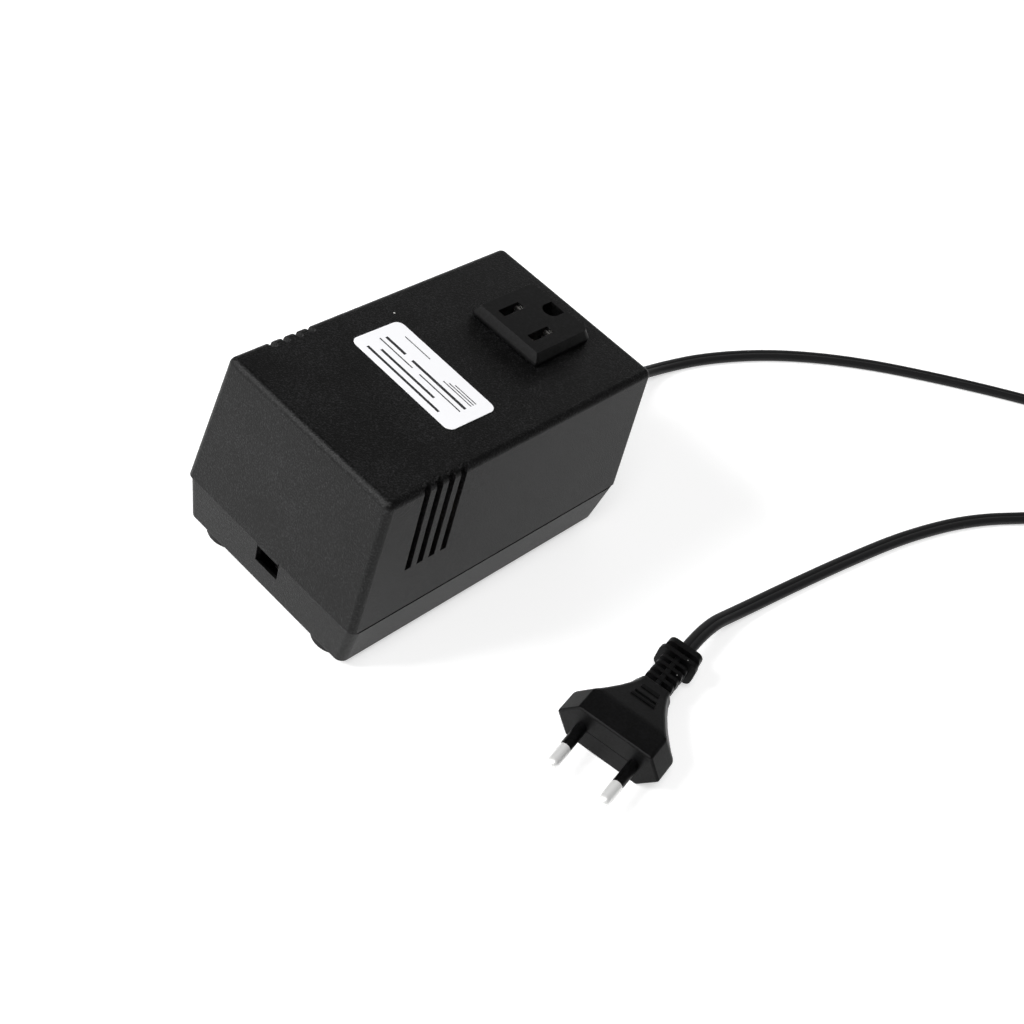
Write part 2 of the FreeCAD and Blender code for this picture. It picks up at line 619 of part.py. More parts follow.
def make_outlet():
    """The outlet body: bevelled face, slots, ground hole, chambers and latches."""
    low = sketch("flange_low", "top_height + seat_gap")
    middle = sketch("bevel_low", "top_height + flange_step")
    high = sketch("bevel_high", "top_height + outlet_rise")
    for drawing, length, width in ((low, "flange_length", "flange_width"),
                                   (middle, "flange_length", "flange_width"),
                                   (high, "face_length", "face_width")):
        rounded_rectangle(drawing, length, width, "face_sharp", "face_round")
        bind(drawing, {"Placement.Base.x": "outlet_middle"})
    bevel = doc.addObject("Part::Loft", "bevel")
    bevel.Sections = [middle, high]
    bevel.Solid = True
    bevel.Ruled = True
    solids = [extrusion("flange", low, "flange_step - seat_gap"), bevel,
              block("outlet_trunk", "outlet_middle", "0", OUTLET_BACK, "outlet_body_length",
                    "outlet_body_width", "outlet_depth + flange_step / 2")]
    for mark, across in SIDES:
        latch = doc.addObject("Part::Wedge", f"latch_{mark}")
        low_y = "-(outlet_body_width / 2) - latch_reach" if across else "outlet_body_width / 2"
        at(latch, "outlet_middle - latch_length / 2", low_y, "top_height - wall - seat_gap - latch_height")
        thin, full = "latch_height * 4 / 5", "0"
        bind(latch, {"Xmin": "0", "Xmax": "latch_length", "X2min": "0", "X2max": "latch_length",
                     "Ymin": "0", "Ymax": "latch_reach", "Zmin": thin if across else full,
                     "Z2min": full if across else thin, "Zmax": "latch_height", "Z2max": "latch_height"})
        solids.append(latch)
    rooms = []
    for mark, place in BLADES:
        rooms.append(block(f"slot_{mark}", "blade_line", place, "top_height - outlet_face",
                           "blade_slot_length", "blade_slot_width", "outlet_face + 2 * outlet_rise"))
        rooms.append(block(f"chamber_{mark}", "blade_line", place, f"{OUTLET_BACK} - outlet_cap",
                           "blade_slot_length + 2 * contact_wall",
                           "blade_grip + 2 * contact_strip + 2 * contact_wall",
                           "outlet_depth + outlet_cap + outlet_rise - outlet_face"))
    rooms.append(cylinder("ground_hole", GROUND, "0", "top_height - outlet_face", "ground_radius",
                          "outlet_face + 2 * outlet_rise"))
    rooms.append(box("ground_flat_side", GROUND, "-(ground_radius)", "top_height - outlet_face",
                     "ground_flat", "2 * ground_radius", "outlet_face + 2 * outlet_rise"))
    rooms.append(block("chamber_ground", GROUND, "0", f"{OUTLET_BACK} - outlet_cap",
                       "ground_contact_length + 2 * contact_wall",
                       "ground_grip + 2 * contact_strip + 2 * contact_wall",
                       "outlet_depth + outlet_cap + outlet_rise - outlet_face - 1"))
    return node(cut("outlet", fuse("outlet_solid", *solids), fuse("outlet_rooms", *rooms)), "outlet_body")


def make_outlet_cap():
    """The cap that closes the back of the outlet and holds the contacts."""
    plate = block("cap_plate", "outlet_middle", "0", f"{OUTLET_BACK} - outlet_cap - seat_gap",
                  "outlet_body_length", "outlet_body_width", "outlet_cap")
    tails = []
    for mark, place in BLADES:
        tails.append(box(f"tail_slot_{mark}", f"{WEB} - seat_gap", f"{place} - blade_grip / 2 - contact_strip - seat_gap",
                         f"{OUTLET_BACK} - 2 * outlet_cap", "contact_strip + 2 * seat_gap",
                         "blade_grip + 2 * contact_strip + 2 * seat_gap", "3 * outlet_cap"))
    tails.append(block("tail_slot_ground", GROUND, "0", f"{OUTLET_BACK} - 2 * outlet_cap",
                       "tail_width + 2 * seat_gap", "contact_strip + 2 * seat_gap", "3 * outlet_cap"))
    return node(cut("cap", plate, fuse("tail_slots", *tails)), "outlet_back_cap")


WEB = "blade_line + blade_slot_length / 2 - fit_gap - contact_strip"
TAIL_FOOT = "top_height - outlet_depth - outlet_cap - tail_length / 2"


def make_contacts():
    """Two blade contacts folded round the blade, and the ground contact."""
    for mark, place in BLADES:
        web = box(f"web_{mark}", WEB, f"{place} - blade_grip / 2 - contact_strip", TAIL_FOOT, "contact_strip",
                  "blade_grip + 2 * contact_strip", f"top_height + outlet_rise - 1.2 - ({TAIL_FOOT})")
        leaves = [box(f"leaf_{mark}_{side}", f"{WEB} + contact_strip - blade_contact_length", low_y,
                      OUTLET_BACK, "blade_contact_length", "contact_strip", f"contact_top - ({OUTLET_BACK})")
                  for side, low_y in (("a", f"{place} - blade_grip / 2 - contact_strip"),
                                      ("b", f"{place} + blade_grip / 2"))]
        node(fuse(f"contact_{mark}", web, *leaves), f"{mark}_contact")
    foot = block("ground_foot", GROUND, "0", OUTLET_BACK, "ground_contact_length",
                 "ground_grip + 2 * contact_strip", "contact_strip")
    tail = block("ground_tail", GROUND, "0", TAIL_FOOT, "tail_width", "contact_strip",
                 f"{OUTLET_BACK} + contact_strip - ({TAIL_FOOT})")
    leaves = [block(f"ground_leaf_{mark}", GROUND, f"{sign}(ground_grip + contact_strip) / 2", OUTLET_BACK,
                    "ground_contact_length", "contact_strip", f"contact_top - ({OUTLET_BACK})")
              for mark, sign in SIDES]
    node(fuse("contact_ground", foot, tail, *leaves), "ground_contact")


# Transformer
CORE_TOP = "core_foot + core_rise"
WINDOW_FOOT = "core_foot + core_limb"
WINDOW_TOP = "core_foot + core_rise - core_limb"
BOLTS = (("a", "-", f"{WINDOW_FOOT} - core_limb / 2"), ("b", "", f"{WINDOW_FOOT} - core_limb / 2"),
         ("c", "-", f"{CORE_TOP} - core_limb / 2"), ("d", "", f"{CORE_TOP} - core_limb / 2"))
BOLT_X = "core_middle {sign} (core_length - core_limb) / 2"


def bolt_places():
    """The four bolts through the laminations."""
    return [(mark, BOLT_X.format(sign=sign or "+"), height) for mark, sign, height in BOLTS]


def make_core():
    """The E stack with its three limbs up, and the I stack across them."""
    solid = block("e_block", "core_middle", "0", "core_foot", "core_length", "core_stack",
                  f"{WINDOW_TOP} - core_foot")
    windows = [block(f"window_{mark}", f"core_middle {sign or '+'} core_length / 4", "0", WINDOW_FOOT,
                     "core_length / 2 - 2 * core_limb", "2 * core_stack", "core_rise")
               for mark, sign in SIDES]
    holes = {mark: cylinder(f"bolt_hole_{mark}", x, "-(core_stack)", z, "bolt_hole_radius",
                            "2 * core_stack", axis="Y") for mark, x, z in bolt_places()}
    tools = fuse("e_rooms", *windows, holes["a"], holes["b"])
    node(cut("e_stack", solid, tools), "core_e_stack")
    bar = block("i_block", "core_middle", "0", f"{WINDOW_TOP} + seat_gap", "core_length", "core_stack",
                "core_limb - seat_gap")
    node(cut("i_stack", bar, fuse("i_holes", holes["c"], holes["d"])), "core_i_stack")


def make_core_bolts():
    """Four bolts across the stack, heads on the near side, nuts on the far side."""
    bolts, nuts = [], []
    for mark, x, z in bolt_places():
        head = cylinder(f"bolt_head_{mark}", x, "-(core_stack / 2) - bolt_head_height", z,
                        "bolt_head_radius", "bolt_head_height", axis="Y")
        shank = cylinder(f"bolt_shank_{mark}", x, "-(core_stack / 2) - bolt_head_height", z, "bolt_radius",
                         "core_stack + bolt_head_height + nut_height + 0.3", axis="Y")
        bolts.append(fuse(f"bolt_{mark}", head, shank))
        prism = doc.addObject("Part::Prism", f"nut_prism_{mark}")
        prism.Polygon = 6
        prism.Placement.Rotation = FreeCAD.Rotation(FreeCAD.Vector(1, 0, 0), -90)
        bind(prism, {"Circumradius": "nut_radius", "Height": "nut_height"})
        at(prism, x, "core_stack / 2", z)
        hole = cylinder(f"nut_hole_{mark}", x, "0", z, "bolt_radius + seat_gap", "core_stack", axis="Y")
        nuts.append(cut(f"nut_{mark}", prism, hole))
    node(group("bolts", bolts), "core_bolts")
    node(group("nuts", nuts), "core_nuts")


LEG_LENGTH = "2 * core_limb + 2 * bobbin_gap"
LEG_WIDTH = "core_stack + 2 * bobbin_gap"
TUBE_LENGTH = f"{LEG_LENGTH} + 2 * bobbin_wall"
TUBE_WIDTH = f"{LEG_WIDTH} + 2 * bobbin_wall"
BOBBIN_FOOT = f"{WINDOW_FOOT} + fit_gap"
BOBBIN_RISE = f"{WINDOW_TOP} - ({WINDOW_FOOT}) - 2 * fit_gap"
FLANGE_LENGTH = "core_length - 2 * core_limb - 4 * fit_gap"
FLANGE_WIDTH = "core_stack + 2 * bobbin_overhang"
TAGS = tuple((mark, f"core_middle {sign} tag_pitch")
             for mark, sign in (("high", "-1 *"), ("tap", "+ 0 *"), ("shared", "+")))


def make_bobbin():
    """The bobbin: a square tube round the centre limb with a flange at each end."""
    drawing = sketch("bobbin_tube_outline", BOBBIN_FOOT)
    rounded_rectangle(drawing, TUBE_LENGTH, TUBE_WIDTH, "bobbin_wall")
    bind(drawing, {"Placement.Base.x": "core_middle"})
    parts = [extrusion("bobbin_tube", drawing, BOBBIN_RISE)]
    for mark, low in (("low", BOBBIN_FOOT), ("high", f"{BOBBIN_FOOT} + {BOBBIN_RISE} - bobbin_wall")):
        parts.append(block(f"bobbin_flange_{mark}", "core_middle", "0", low, FLANGE_LENGTH, FLANGE_WIDTH,
                           "bobbin_wall"))
    rooms = [block("bobbin_bore", "core_middle", "0", "core_foot", LEG_LENGTH, LEG_WIDTH, "core_rise")]
    for mark, x in TAGS:
        rooms.append(block(f"tag_seat_{mark}", x, "tag_line",
                           f"{BOBBIN_FOOT} + {BOBBIN_RISE} - tag_seat - seat_gap",
                           "tag_length + 2 * seat_gap", "tag_strip + 2 * seat_gap", "core_rise"))
    node(cut("bobbin_shape", fuse("bobbin_solid", *parts), fuse("bobbin_rooms", *rooms)), "bobbin")
    tags = [block(f"tag_{mark}", x, "tag_line", f"{BOBBIN_FOOT} + {BOBBIN_RISE} - tag_seat", "tag_length",
                  "tag_strip", "tag_seat + tag_rise") for mark, x in TAGS]
    node(group("tags", tags), "solder_tags")


def make_windings():
    """The two windings and the tape over them, one round the other."""
    inset = "layer_gap"
    layers = (("common_winding", "common_build"), ("series_winding", "series_build"),
              ("winding_tape", "tape_build"))
    for label, build in layers:
        ring = sketch(f"{label}_ring", f"{BOBBIN_FOOT} + bobbin_wall + layer_gap")
        bind(ring, {"Placement.Base.x": "core_middle"})
        outer = f"{inset} + {build}"
        rounded_rectangle(ring, f"{TUBE_LENGTH} + 2 * ({outer})", f"{TUBE_WIDTH} + 2 * ({outer})",
                          f"bobbin_wall + {outer}")
        rounded_rectangle(ring, f"{TUBE_LENGTH} + 2 * ({inset})", f"{TUBE_WIDTH} + 2 * ({inset})",
                          f"bobbin_wall + {inset}", mark="inner")
        node(extrusion(f"{label}_solid", ring, f"{BOBBIN_RISE} - 2 * bobbin_wall - 2 * layer_gap"), label)
        inset = f"{outer} + layer_gap"


def make_pad():
    """The rubber pad that the cover presses on the core."""
    return node(block("pad", "core_middle", "0", CORE_TOP, "pad_length", "pad_width", "pad_height"),
                "clamp_pad")


# Cable entry
EXIT_HEIGHT = "(notch_low + notch_high) / 2"
SADDLE_TOP = f"{EXIT_HEIGHT} - cord_thickness / 2"
GROMMET_IN = "cover_foot_length / 2 - wall - 2 * fit_gap - tongue_wall"
GROMMET_OUT = "base_rim_length / 2 + grommet_nose"


def flat_outline(drawing, gap):
    """The flat lead's outline, wider by a gap all round."""
    rounded_rectangle(drawing, f"cord_width + 2 * {gap}", f"cord_thickness + 2 * {gap}",
                      f"0.49 * (cord_thickness + 2 * {gap})")


def make_grommet():
    """The grommet: inner flange, square neck in the notch and a tapered strain relief outside."""
    parts = []
    neck = f"base_rim_length / 2 + fit_gap - ({GROMMET_IN})"
    for mark, low, length, width, height in (
            ("flange", f"{GROMMET_IN} - grommet_flange", "grommet_flange", "notch_width + 2.4",
             "notch_high - notch_low + 2.4"),
            ("neck", GROMMET_IN, neck, "notch_width - 2 * fit_gap", "notch_high - notch_low - fit_gap")):
        drawing = sketch(f"grommet_{mark}", facing="X")
        rounded_rectangle(drawing, width, height, "1" if mark == "flange" else "0.3")
        at(drawing, low, "0", EXIT_HEIGHT)
        parts.append(extrusion(f"grommet_{mark}_solid", drawing, length))
    ends = []
    for mark, place, width, height in (
            ("root", f"{GROMMET_OUT} - grommet_nose", "notch_width - 1", "notch_high - notch_low - 0.5"),
            ("tip", GROMMET_OUT, "nose_tip_width", "nose_tip_height")):
        drawing = sketch(f"relief_{mark}", facing="X")
        rounded_rectangle(drawing, width, height, "1.6")
        at(drawing, place, "0", EXIT_HEIGHT)
        ends.append(drawing)
    nose = doc.addObject("Part::Loft", "relief_nose")
    nose.Sections = ends
    nose.Solid = True
    nose.Ruled = True
    parts.append(nose)
    drawing = sketch("grommet_bore", facing="X")
    flat_outline(drawing, "seat_gap")
    at(drawing, f"{GROMMET_IN} - 2 * grommet_flange", "0", EXIT_HEIGHT)
    bore = extrusion("grommet_bore_solid", drawing, "4 * wall + 2 * grommet_nose")
    return node(cut("grommet", fuse("grommet_solid", *parts), bore), "cord_grommet")


def make_clamp():
    """The bar over the lead and its two screws."""
    low = f"{SADDLE_TOP} + cord_thickness"
    bar = block("clamp_plate", "clamp_middle", "0", low, "clamp_length", "clamp_width", "clamp_bar")
    holes, screws = [], []
    for mark, across in SIDES:
        place = ("clamp_middle", signed(across, "clamp_pitch / 2"))
        holes.append(cylinder(f"clamp_hole_{mark}", *place, "foot_height",
                              "clamp_screw_radius + 2 * seat_gap", "top_height"))
        head = cylinder(f"clamp_head_{mark}", *place, f"{low} + clamp_bar", "clamp_head_radius",
                        "clamp_head_height")
        shank = cylinder(f"clamp_shank_{mark}", *place, f"{low} + clamp_bar - clamp_screw_length",
                         "clamp_screw_radius", "clamp_screw_length + clamp_head_height / 2")
        screws.append(fuse(f"clamp_screw_{mark}", head, shank))
    node(cut("clamp", bar, fuse("clamp_holes", *holes)), "cord_clamp")
    node(group("clamp_screw_pair", screws), "clamp_screws")


# Leads and wires
def rounded_path(points):
    """A path of straight runs joined by arcs that touch them, and the radii."""
    edges, radii = [], []
    start = points[0]
    for before, corner, after in zip(points, points[1:], points[2:]):
        back, ahead = before - corner, after - corner
        reach = 0.45 * min(back.Length, ahead.Length)
        back.normalize()
        ahead.normalize()
        turn = math.pi - back.getAngle(ahead)
        radius = reach / math.tan(turn / 2)
        first, last = corner + back * reach, corner + ahead * reach
        inward = back + ahead
        inward.normalize()
        middle = corner + inward * (radius / math.cos(turn / 2) - radius)
        edges.append(Part.LineSegment(start, first).toShape())
        edges.append(Part.Arc(first, middle, last).toShape())
        radii.append(round(radius, 1))
        start = last
    edges.append(Part.LineSegment(start, points[-1]).toShape())
    return edges, radii


def swept(label, edges, section, area):
    """A solid tube of one section along a path, kept as a sub-part."""
    spine = Part.Wire(edges)
    shell_maker = Part.BRepOffsetAPI.MakePipeShell(spine)
    shell_maker.setTransitionMode(1)
    shell_maker.add(section)
    shell_maker.build()
    shell_maker.makeSolid()
    solid = shell_maker.shape()
    item = doc.addObject("Part::Feature", label + "_tube")
    item.Shape = solid
    share = solid.Volume / (area * spine.Length)
    lowest = min(point.z for point in solid.tessellate(0.02)[0])
    print(f"{label}: length {spine.Length:.1f}, volume / section x length {share:.4f}, "
          f"lowest {lowest:.3f}")
    return node(item, label)


def round_tube(label, points, radius):
    """A round wire through points given as triples of expressions."""
    places = [FreeCAD.Vector(*(value(part) for part in point)) for point in points]
    size = value(radius)
    edges, radii = rounded_path(places)
    heading = places[1] - places[0]
    section = Part.Wire([Part.makeCircle(size, places[0], heading)])
    print(f"{label}: bend radii {radii}")
    return swept(label, edges, section, math.pi * size ** 2)


def flat_section(place, heading, roll=0.0):
    """The lead's flat outline across a heading, and its area."""
    width, thickness = value("cord_width"), value("cord_thickness")
    half, radius = (width - thickness) / 2, thickness / 2
    heading = FreeCAD.Vector(heading).normalize()
    across = UP.cross(heading).normalize()
    upward = heading.cross(across)
    turn = FreeCAD.Rotation(heading, roll)
    across, upward = turn.multVec(across), turn.multVec(upward)
    corners = [place + across * (side * half) + upward * (rise * radius)
               for side, rise in ((-1, -1), (1, -1), (1, 1), (-1, 1))]
    right, left = place + across * (half + radius), place - across * (half + radius)
    wire = Part.Wire([Part.LineSegment(corners[0], corners[1]).toShape(),
                      Part.Arc(corners[1], right, corners[2]).toShape(),
                      Part.LineSegment(corners[2], corners[3]).toShape(),
                      Part.Arc(corners[3], left, corners[0]).toShape()])
    return wire, 2 * half * thickness + math.pi * radius ** 2


def coil_stations():
    """The ends of the coil's half-turns: layer one inwards, a climb, layer two outwards."""
    turn = math.radians(value("coil_start"))
    spoke = FreeCAD.Vector(math.cos(turn), math.sin(turn), 0)
    outer, pitch = value("coil_radius"), value("coil_pitch")
    rest, rise = value("cord_rest"), value("coil_rise")
    entry = FreeCAD.Vector(value("coil_entry_along"), value("coil_entry_across"), 0)
    middle = entry - spoke * outer
    steps = [0, 1, 2, 3, 4, 5] + [6] + list(range(3, 3 - int(value("coil_turns")), -1))
    stations = []
    for index, step in enumerate(steps):
        side = 1 if index % 2 == 0 else -1
        height = rest if index < 6 else rest + rise
        stations.append(middle + spoke * (side * (outer - step * pitch / 2)) + UP * height)
    return middle, spoke, stations


def make_coil():
    """The put-away turns of the lead as one unbroken flat tube of half-turns."""
    middle, spoke, stations = coil_stations()
    forward = spoke.cross(UP)
    edges = []
    for index, (first, last) in enumerate(zip(stations, stations[1:])):
        side = 1 if index % 2 == 0 else -1
        centre = (first + last) / 2
        crown = centre + forward * (side * (last - first).Length / 2)
        edges.append(Part.Arc(first, crown, last).toShape())
    tilt = math.degrees(math.asin(value("coil_rise") / (stations[6] - stations[5]).Length))
    section, area = flat_section(stations[0], forward, tilt)
    swept("mains_cord_coil", edges, section, area)
    samples = [(index + share / 60, edge.valueAt(edge.FirstParameter
                + (edge.LastParameter - edge.FirstParameter) * share / 60))
               for index, edge in enumerate(edges) for share in range(60)]
    width = value("cord_width")
    thickness = value("cord_thickness") + (width - value("cord_thickness")) * math.sin(math.radians(tilt))
    least = 1e9
    for first, (one, here) in enumerate(samples):
        for other, there in samples[first + 60:]:
            apart = there - here
            level = max(0.0, math.hypot(apart.x, apart.y) - (width - thickness))
            least = min(least, math.hypot(level, apart.z) - thickness)
    print(f"mains_cord_coil: least gap to itself {least:.2f}, climb tilted {tilt:.1f} degrees")
    return stations


def make_lead(stations):
    """The lead inside the case, from the case to the coil and from it to the plug."""
    height = value(EXIT_HEIGHT)
    rest, high = value("cord_rest"), value("cord_rest + coil_rise")
    out = value(GROMMET_OUT)
    inner = [FreeCAD.Vector(value("inner_end"), 0, height), FreeCAD.Vector(out, 0, height)]
    section, area = flat_section(inner[0], inner[1] - inner[0])
    swept("cord_inner_end", [Part.LineSegment(*inner).toShape()], section, area)
    route = [(94, 0, height), (116, 3, 9), (143, 4.6, rest), (168, -1.5, rest), (198.15, -14.9, rest),
             (227.8, -35.3, rest), (255.6, -61.2, rest), (283.1, -90.2, rest)]
    middle, spoke, every = coil_stations()
    forward, gap = spoke.cross(UP), value("seat_gap")
    points = [inner[1]] + [FreeCAD.Vector(*place) for place in route] + [stations[0] - forward * 2 * gap]
    edges, radii = rounded_path(points)
    section, area = flat_section(points[0], points[1] - points[0])
    print(f"mains_cord_exit: bend radii {radii}")
    swept("mains_cord_exit", edges, section, area)
    turn = math.radians(value("plug_turn"))
    pins = FreeCAD.Vector(math.cos(turn), math.sin(turn), 0)
    face = FreeCAD.Vector(value("plug_along"), value("plug_across"), value("plug_height / 2"))
    collar = face - pins * (value(RELIEF_END) + gap)
    away = collar - pins * 14
    leave = every[-1] - forward * 22
    route = [(220.2, -130.8, rest), (193.1, -115.8, rest), (161, -105.9, rest), (128, -99.9, rest),
             (98, -95.4, rest), (70, -92.0, 2.6)]
    points = [every[-1] - forward * 2 * gap, leave] + [FreeCAD.Vector(*place) for place in route] + [away, collar]
    edges, radii = rounded_path(points)
    section, area = flat_section(points[0], points[1] - points[0])
    print(f"mains_cord_plug_end: bend radii {radii}")
    swept("mains_cord_plug_end", edges, section, area)
    print("collar", tuple(round(number, 2) for number in collar))


def make_wires():
    """The insulated wires and the thermal fuse."""
    tail_x = f"{WEB} - seat_gap"
    tail_z = f"{TAIL_FOOT} + tail_length / 4"
    beside = "tag_line + tag_strip / 2 + core_wire_radius + 2 * seat_gap"
    inside = "tag_line - tag_strip / 2 - core_wire_radius - 2 * seat_gap"
    far = "core_middle + core_length / 2"
    flange = f"{BOBBIN_FOOT} + {BOBBIN_RISE}"
    tags = {mark: x for mark, x in TAGS}
    round_tube("output_live_wire", [
        (tags["tap"], beside, f"{flange} + 4.3"), (f"{tags['shared']}", beside, f"{flange} + 7.8"),
        (f"{far} - 11", "tag_line + 1", "top_height - 9.8"), (f"{far} - 1", "tag_line - 0.7", "top_height - 13"),
        (f"{far} + 6", "tag_line - 6.2", "top_height - 18.6"),
        (f"{far} + 10.5", "11", f"{tail_z} - 1.4"), (f"{far} + 15", LIVE, tail_z), (tail_x, LIVE, tail_z)],
        "core_wire_radius")
    round_tube("output_neutral_wire", [
        (tags["shared"], beside, f"{flange} + 2.8"), (f"{far} - 13", beside, f"{flange} + 4"),
        (f"{far} - 4", "tag_line - 0.7", "top_height - 15.8"),
        (f"{far} + 2.5", "tag_line - 7.2", "top_height - 19.8"),
        (f"{far} + 6", "8", f"{tail_z} - 3"), (f"{far} + 9", "-2", f"{tail_z} - 2.8"),
        (f"{far} + 14.5", NEUTRAL, tail_z), (tail_x, NEUTRAL, tail_z)], "core_wire_radius")
    fuse_y, fuse_z = "tag_line + 4.4", "core_foot + core_rise / 2"
    round_tube("input_live_wire", [
        ("inner_end - seat_gap", "1.3", EXIT_HEIGHT), ("inner_end - 7", "1.3", EXIT_HEIGHT),
        (f"{far} + 12", "14", "16.5"), (f"{far} + 7", "tag_line - 1.2", "22"),
        (f"{far} - 1", fuse_y, f"{fuse_z} - 4"), ("core_middle + 18", fuse_y, fuse_z),
        ("core_middle + 8.5", fuse_y, fuse_z)], "core_wire_radius")
    round_tube("input_neutral_wire", [
        ("inner_end - seat_gap", "-1.3", EXIT_HEIGHT), ("inner_end - 9", "-1.3", EXIT_HEIGHT),
        (f"{far} + 8", "7", "18"), (f"{far} + 5", "tag_line - 6.2", "27"),
        (f"{far} + 4", "tag_line - 2.6", f"{fuse_z} + 6"), (f"{far} - 4", "tag_line - 3.7", f"{flange} - 1.2"),
        (f"{far} - 12", inside, f"{flange} + 3.4"), (tags["shared"], inside, f"{flange} + 4.4")],
        "core_wire_radius")
    can = cylinder("fuse_can", "core_middle - 5", fuse_y, fuse_z, "2", "10", axis="X")
    tip = cylinder("fuse_lead", "core_middle - 5", fuse_y, fuse_z, "0.4", "13.4", axis="X")
    low_y = "tag_line + tag_strip / 2 + seat_gap"
    tail = round_tube("fuse_tail", [
        ("core_middle - 4", fuse_y, fuse_z), (tags["high"], fuse_y, fuse_z),
        (tags["high"], fuse_y, f"{flange} + 1.4"), (tags["high"], low_y, f"{flange} + 1.4")], "0.4")
    nodes.remove(tail)
    node(fuse("fuse_solid", can, tip, tail), "thermal_fuse")


# Plug
RING_START = "plug_neck + relief_pitch * relief_fins + relief_slot"
RELIEF_END = f"{RING_START} + collar_length + collar_gap + collar_end_length"


def ring(name, behind, length, width, height, corner):
    """A rounded plate across the plug, from a distance behind its face."""
    drawing = sketch(name, facing="X")
    rounded_rectangle(drawing, width, height, corner)
    bind(drawing, {"Placement.Base.x": f"-({behind}) - ({length})"})
    return extrusion(name + "_solid", drawing, length)


def place_plug(item):
    """Lays a plug piece in its place and direction on the surface."""
    item.Placement.Rotation = FreeCAD.Rotation(UP, value("plug_turn"))
    bind(item, {"Placement.Rotation.Angle": "plug_turn * 1 deg"})
    at(item, "plug_along", "plug_across", "plug_height / 2")
    return item


def pin_rods(name, radius, behind, ahead, ball=False):
    """A round rod on the line of each pin, from behind the face to ahead of it."""
    rods = []
    for mark, sign in SIDES:
        rod = cylinder(f"{name}_{mark}", f"-({behind})", "0", "0", radius, f"{behind} + ({ahead})", axis="X")
        if ball:
            tip = doc.addObject("Part::Sphere", f"{name}_tip_{mark}")
            bind(tip, {"Radius": radius, "Placement.Base.x": ahead})
            rod = fuse(f"{name}_round_{mark}", rod, tip)
        else:
            rod = group(f"{name}_whole_{mark}", [rod])
        rod.Placement.Rotation = FreeCAD.Rotation(UP, value("pin_turn"))
        lean = "" if sign else "-"
        bind(rod, {"Placement.Base.y": f"{sign}pin_spacing / 2",
                   "Placement.Rotation.Angle": f"{lean}pin_turn * 1 deg"})
        rods.append(rod)
    return rods


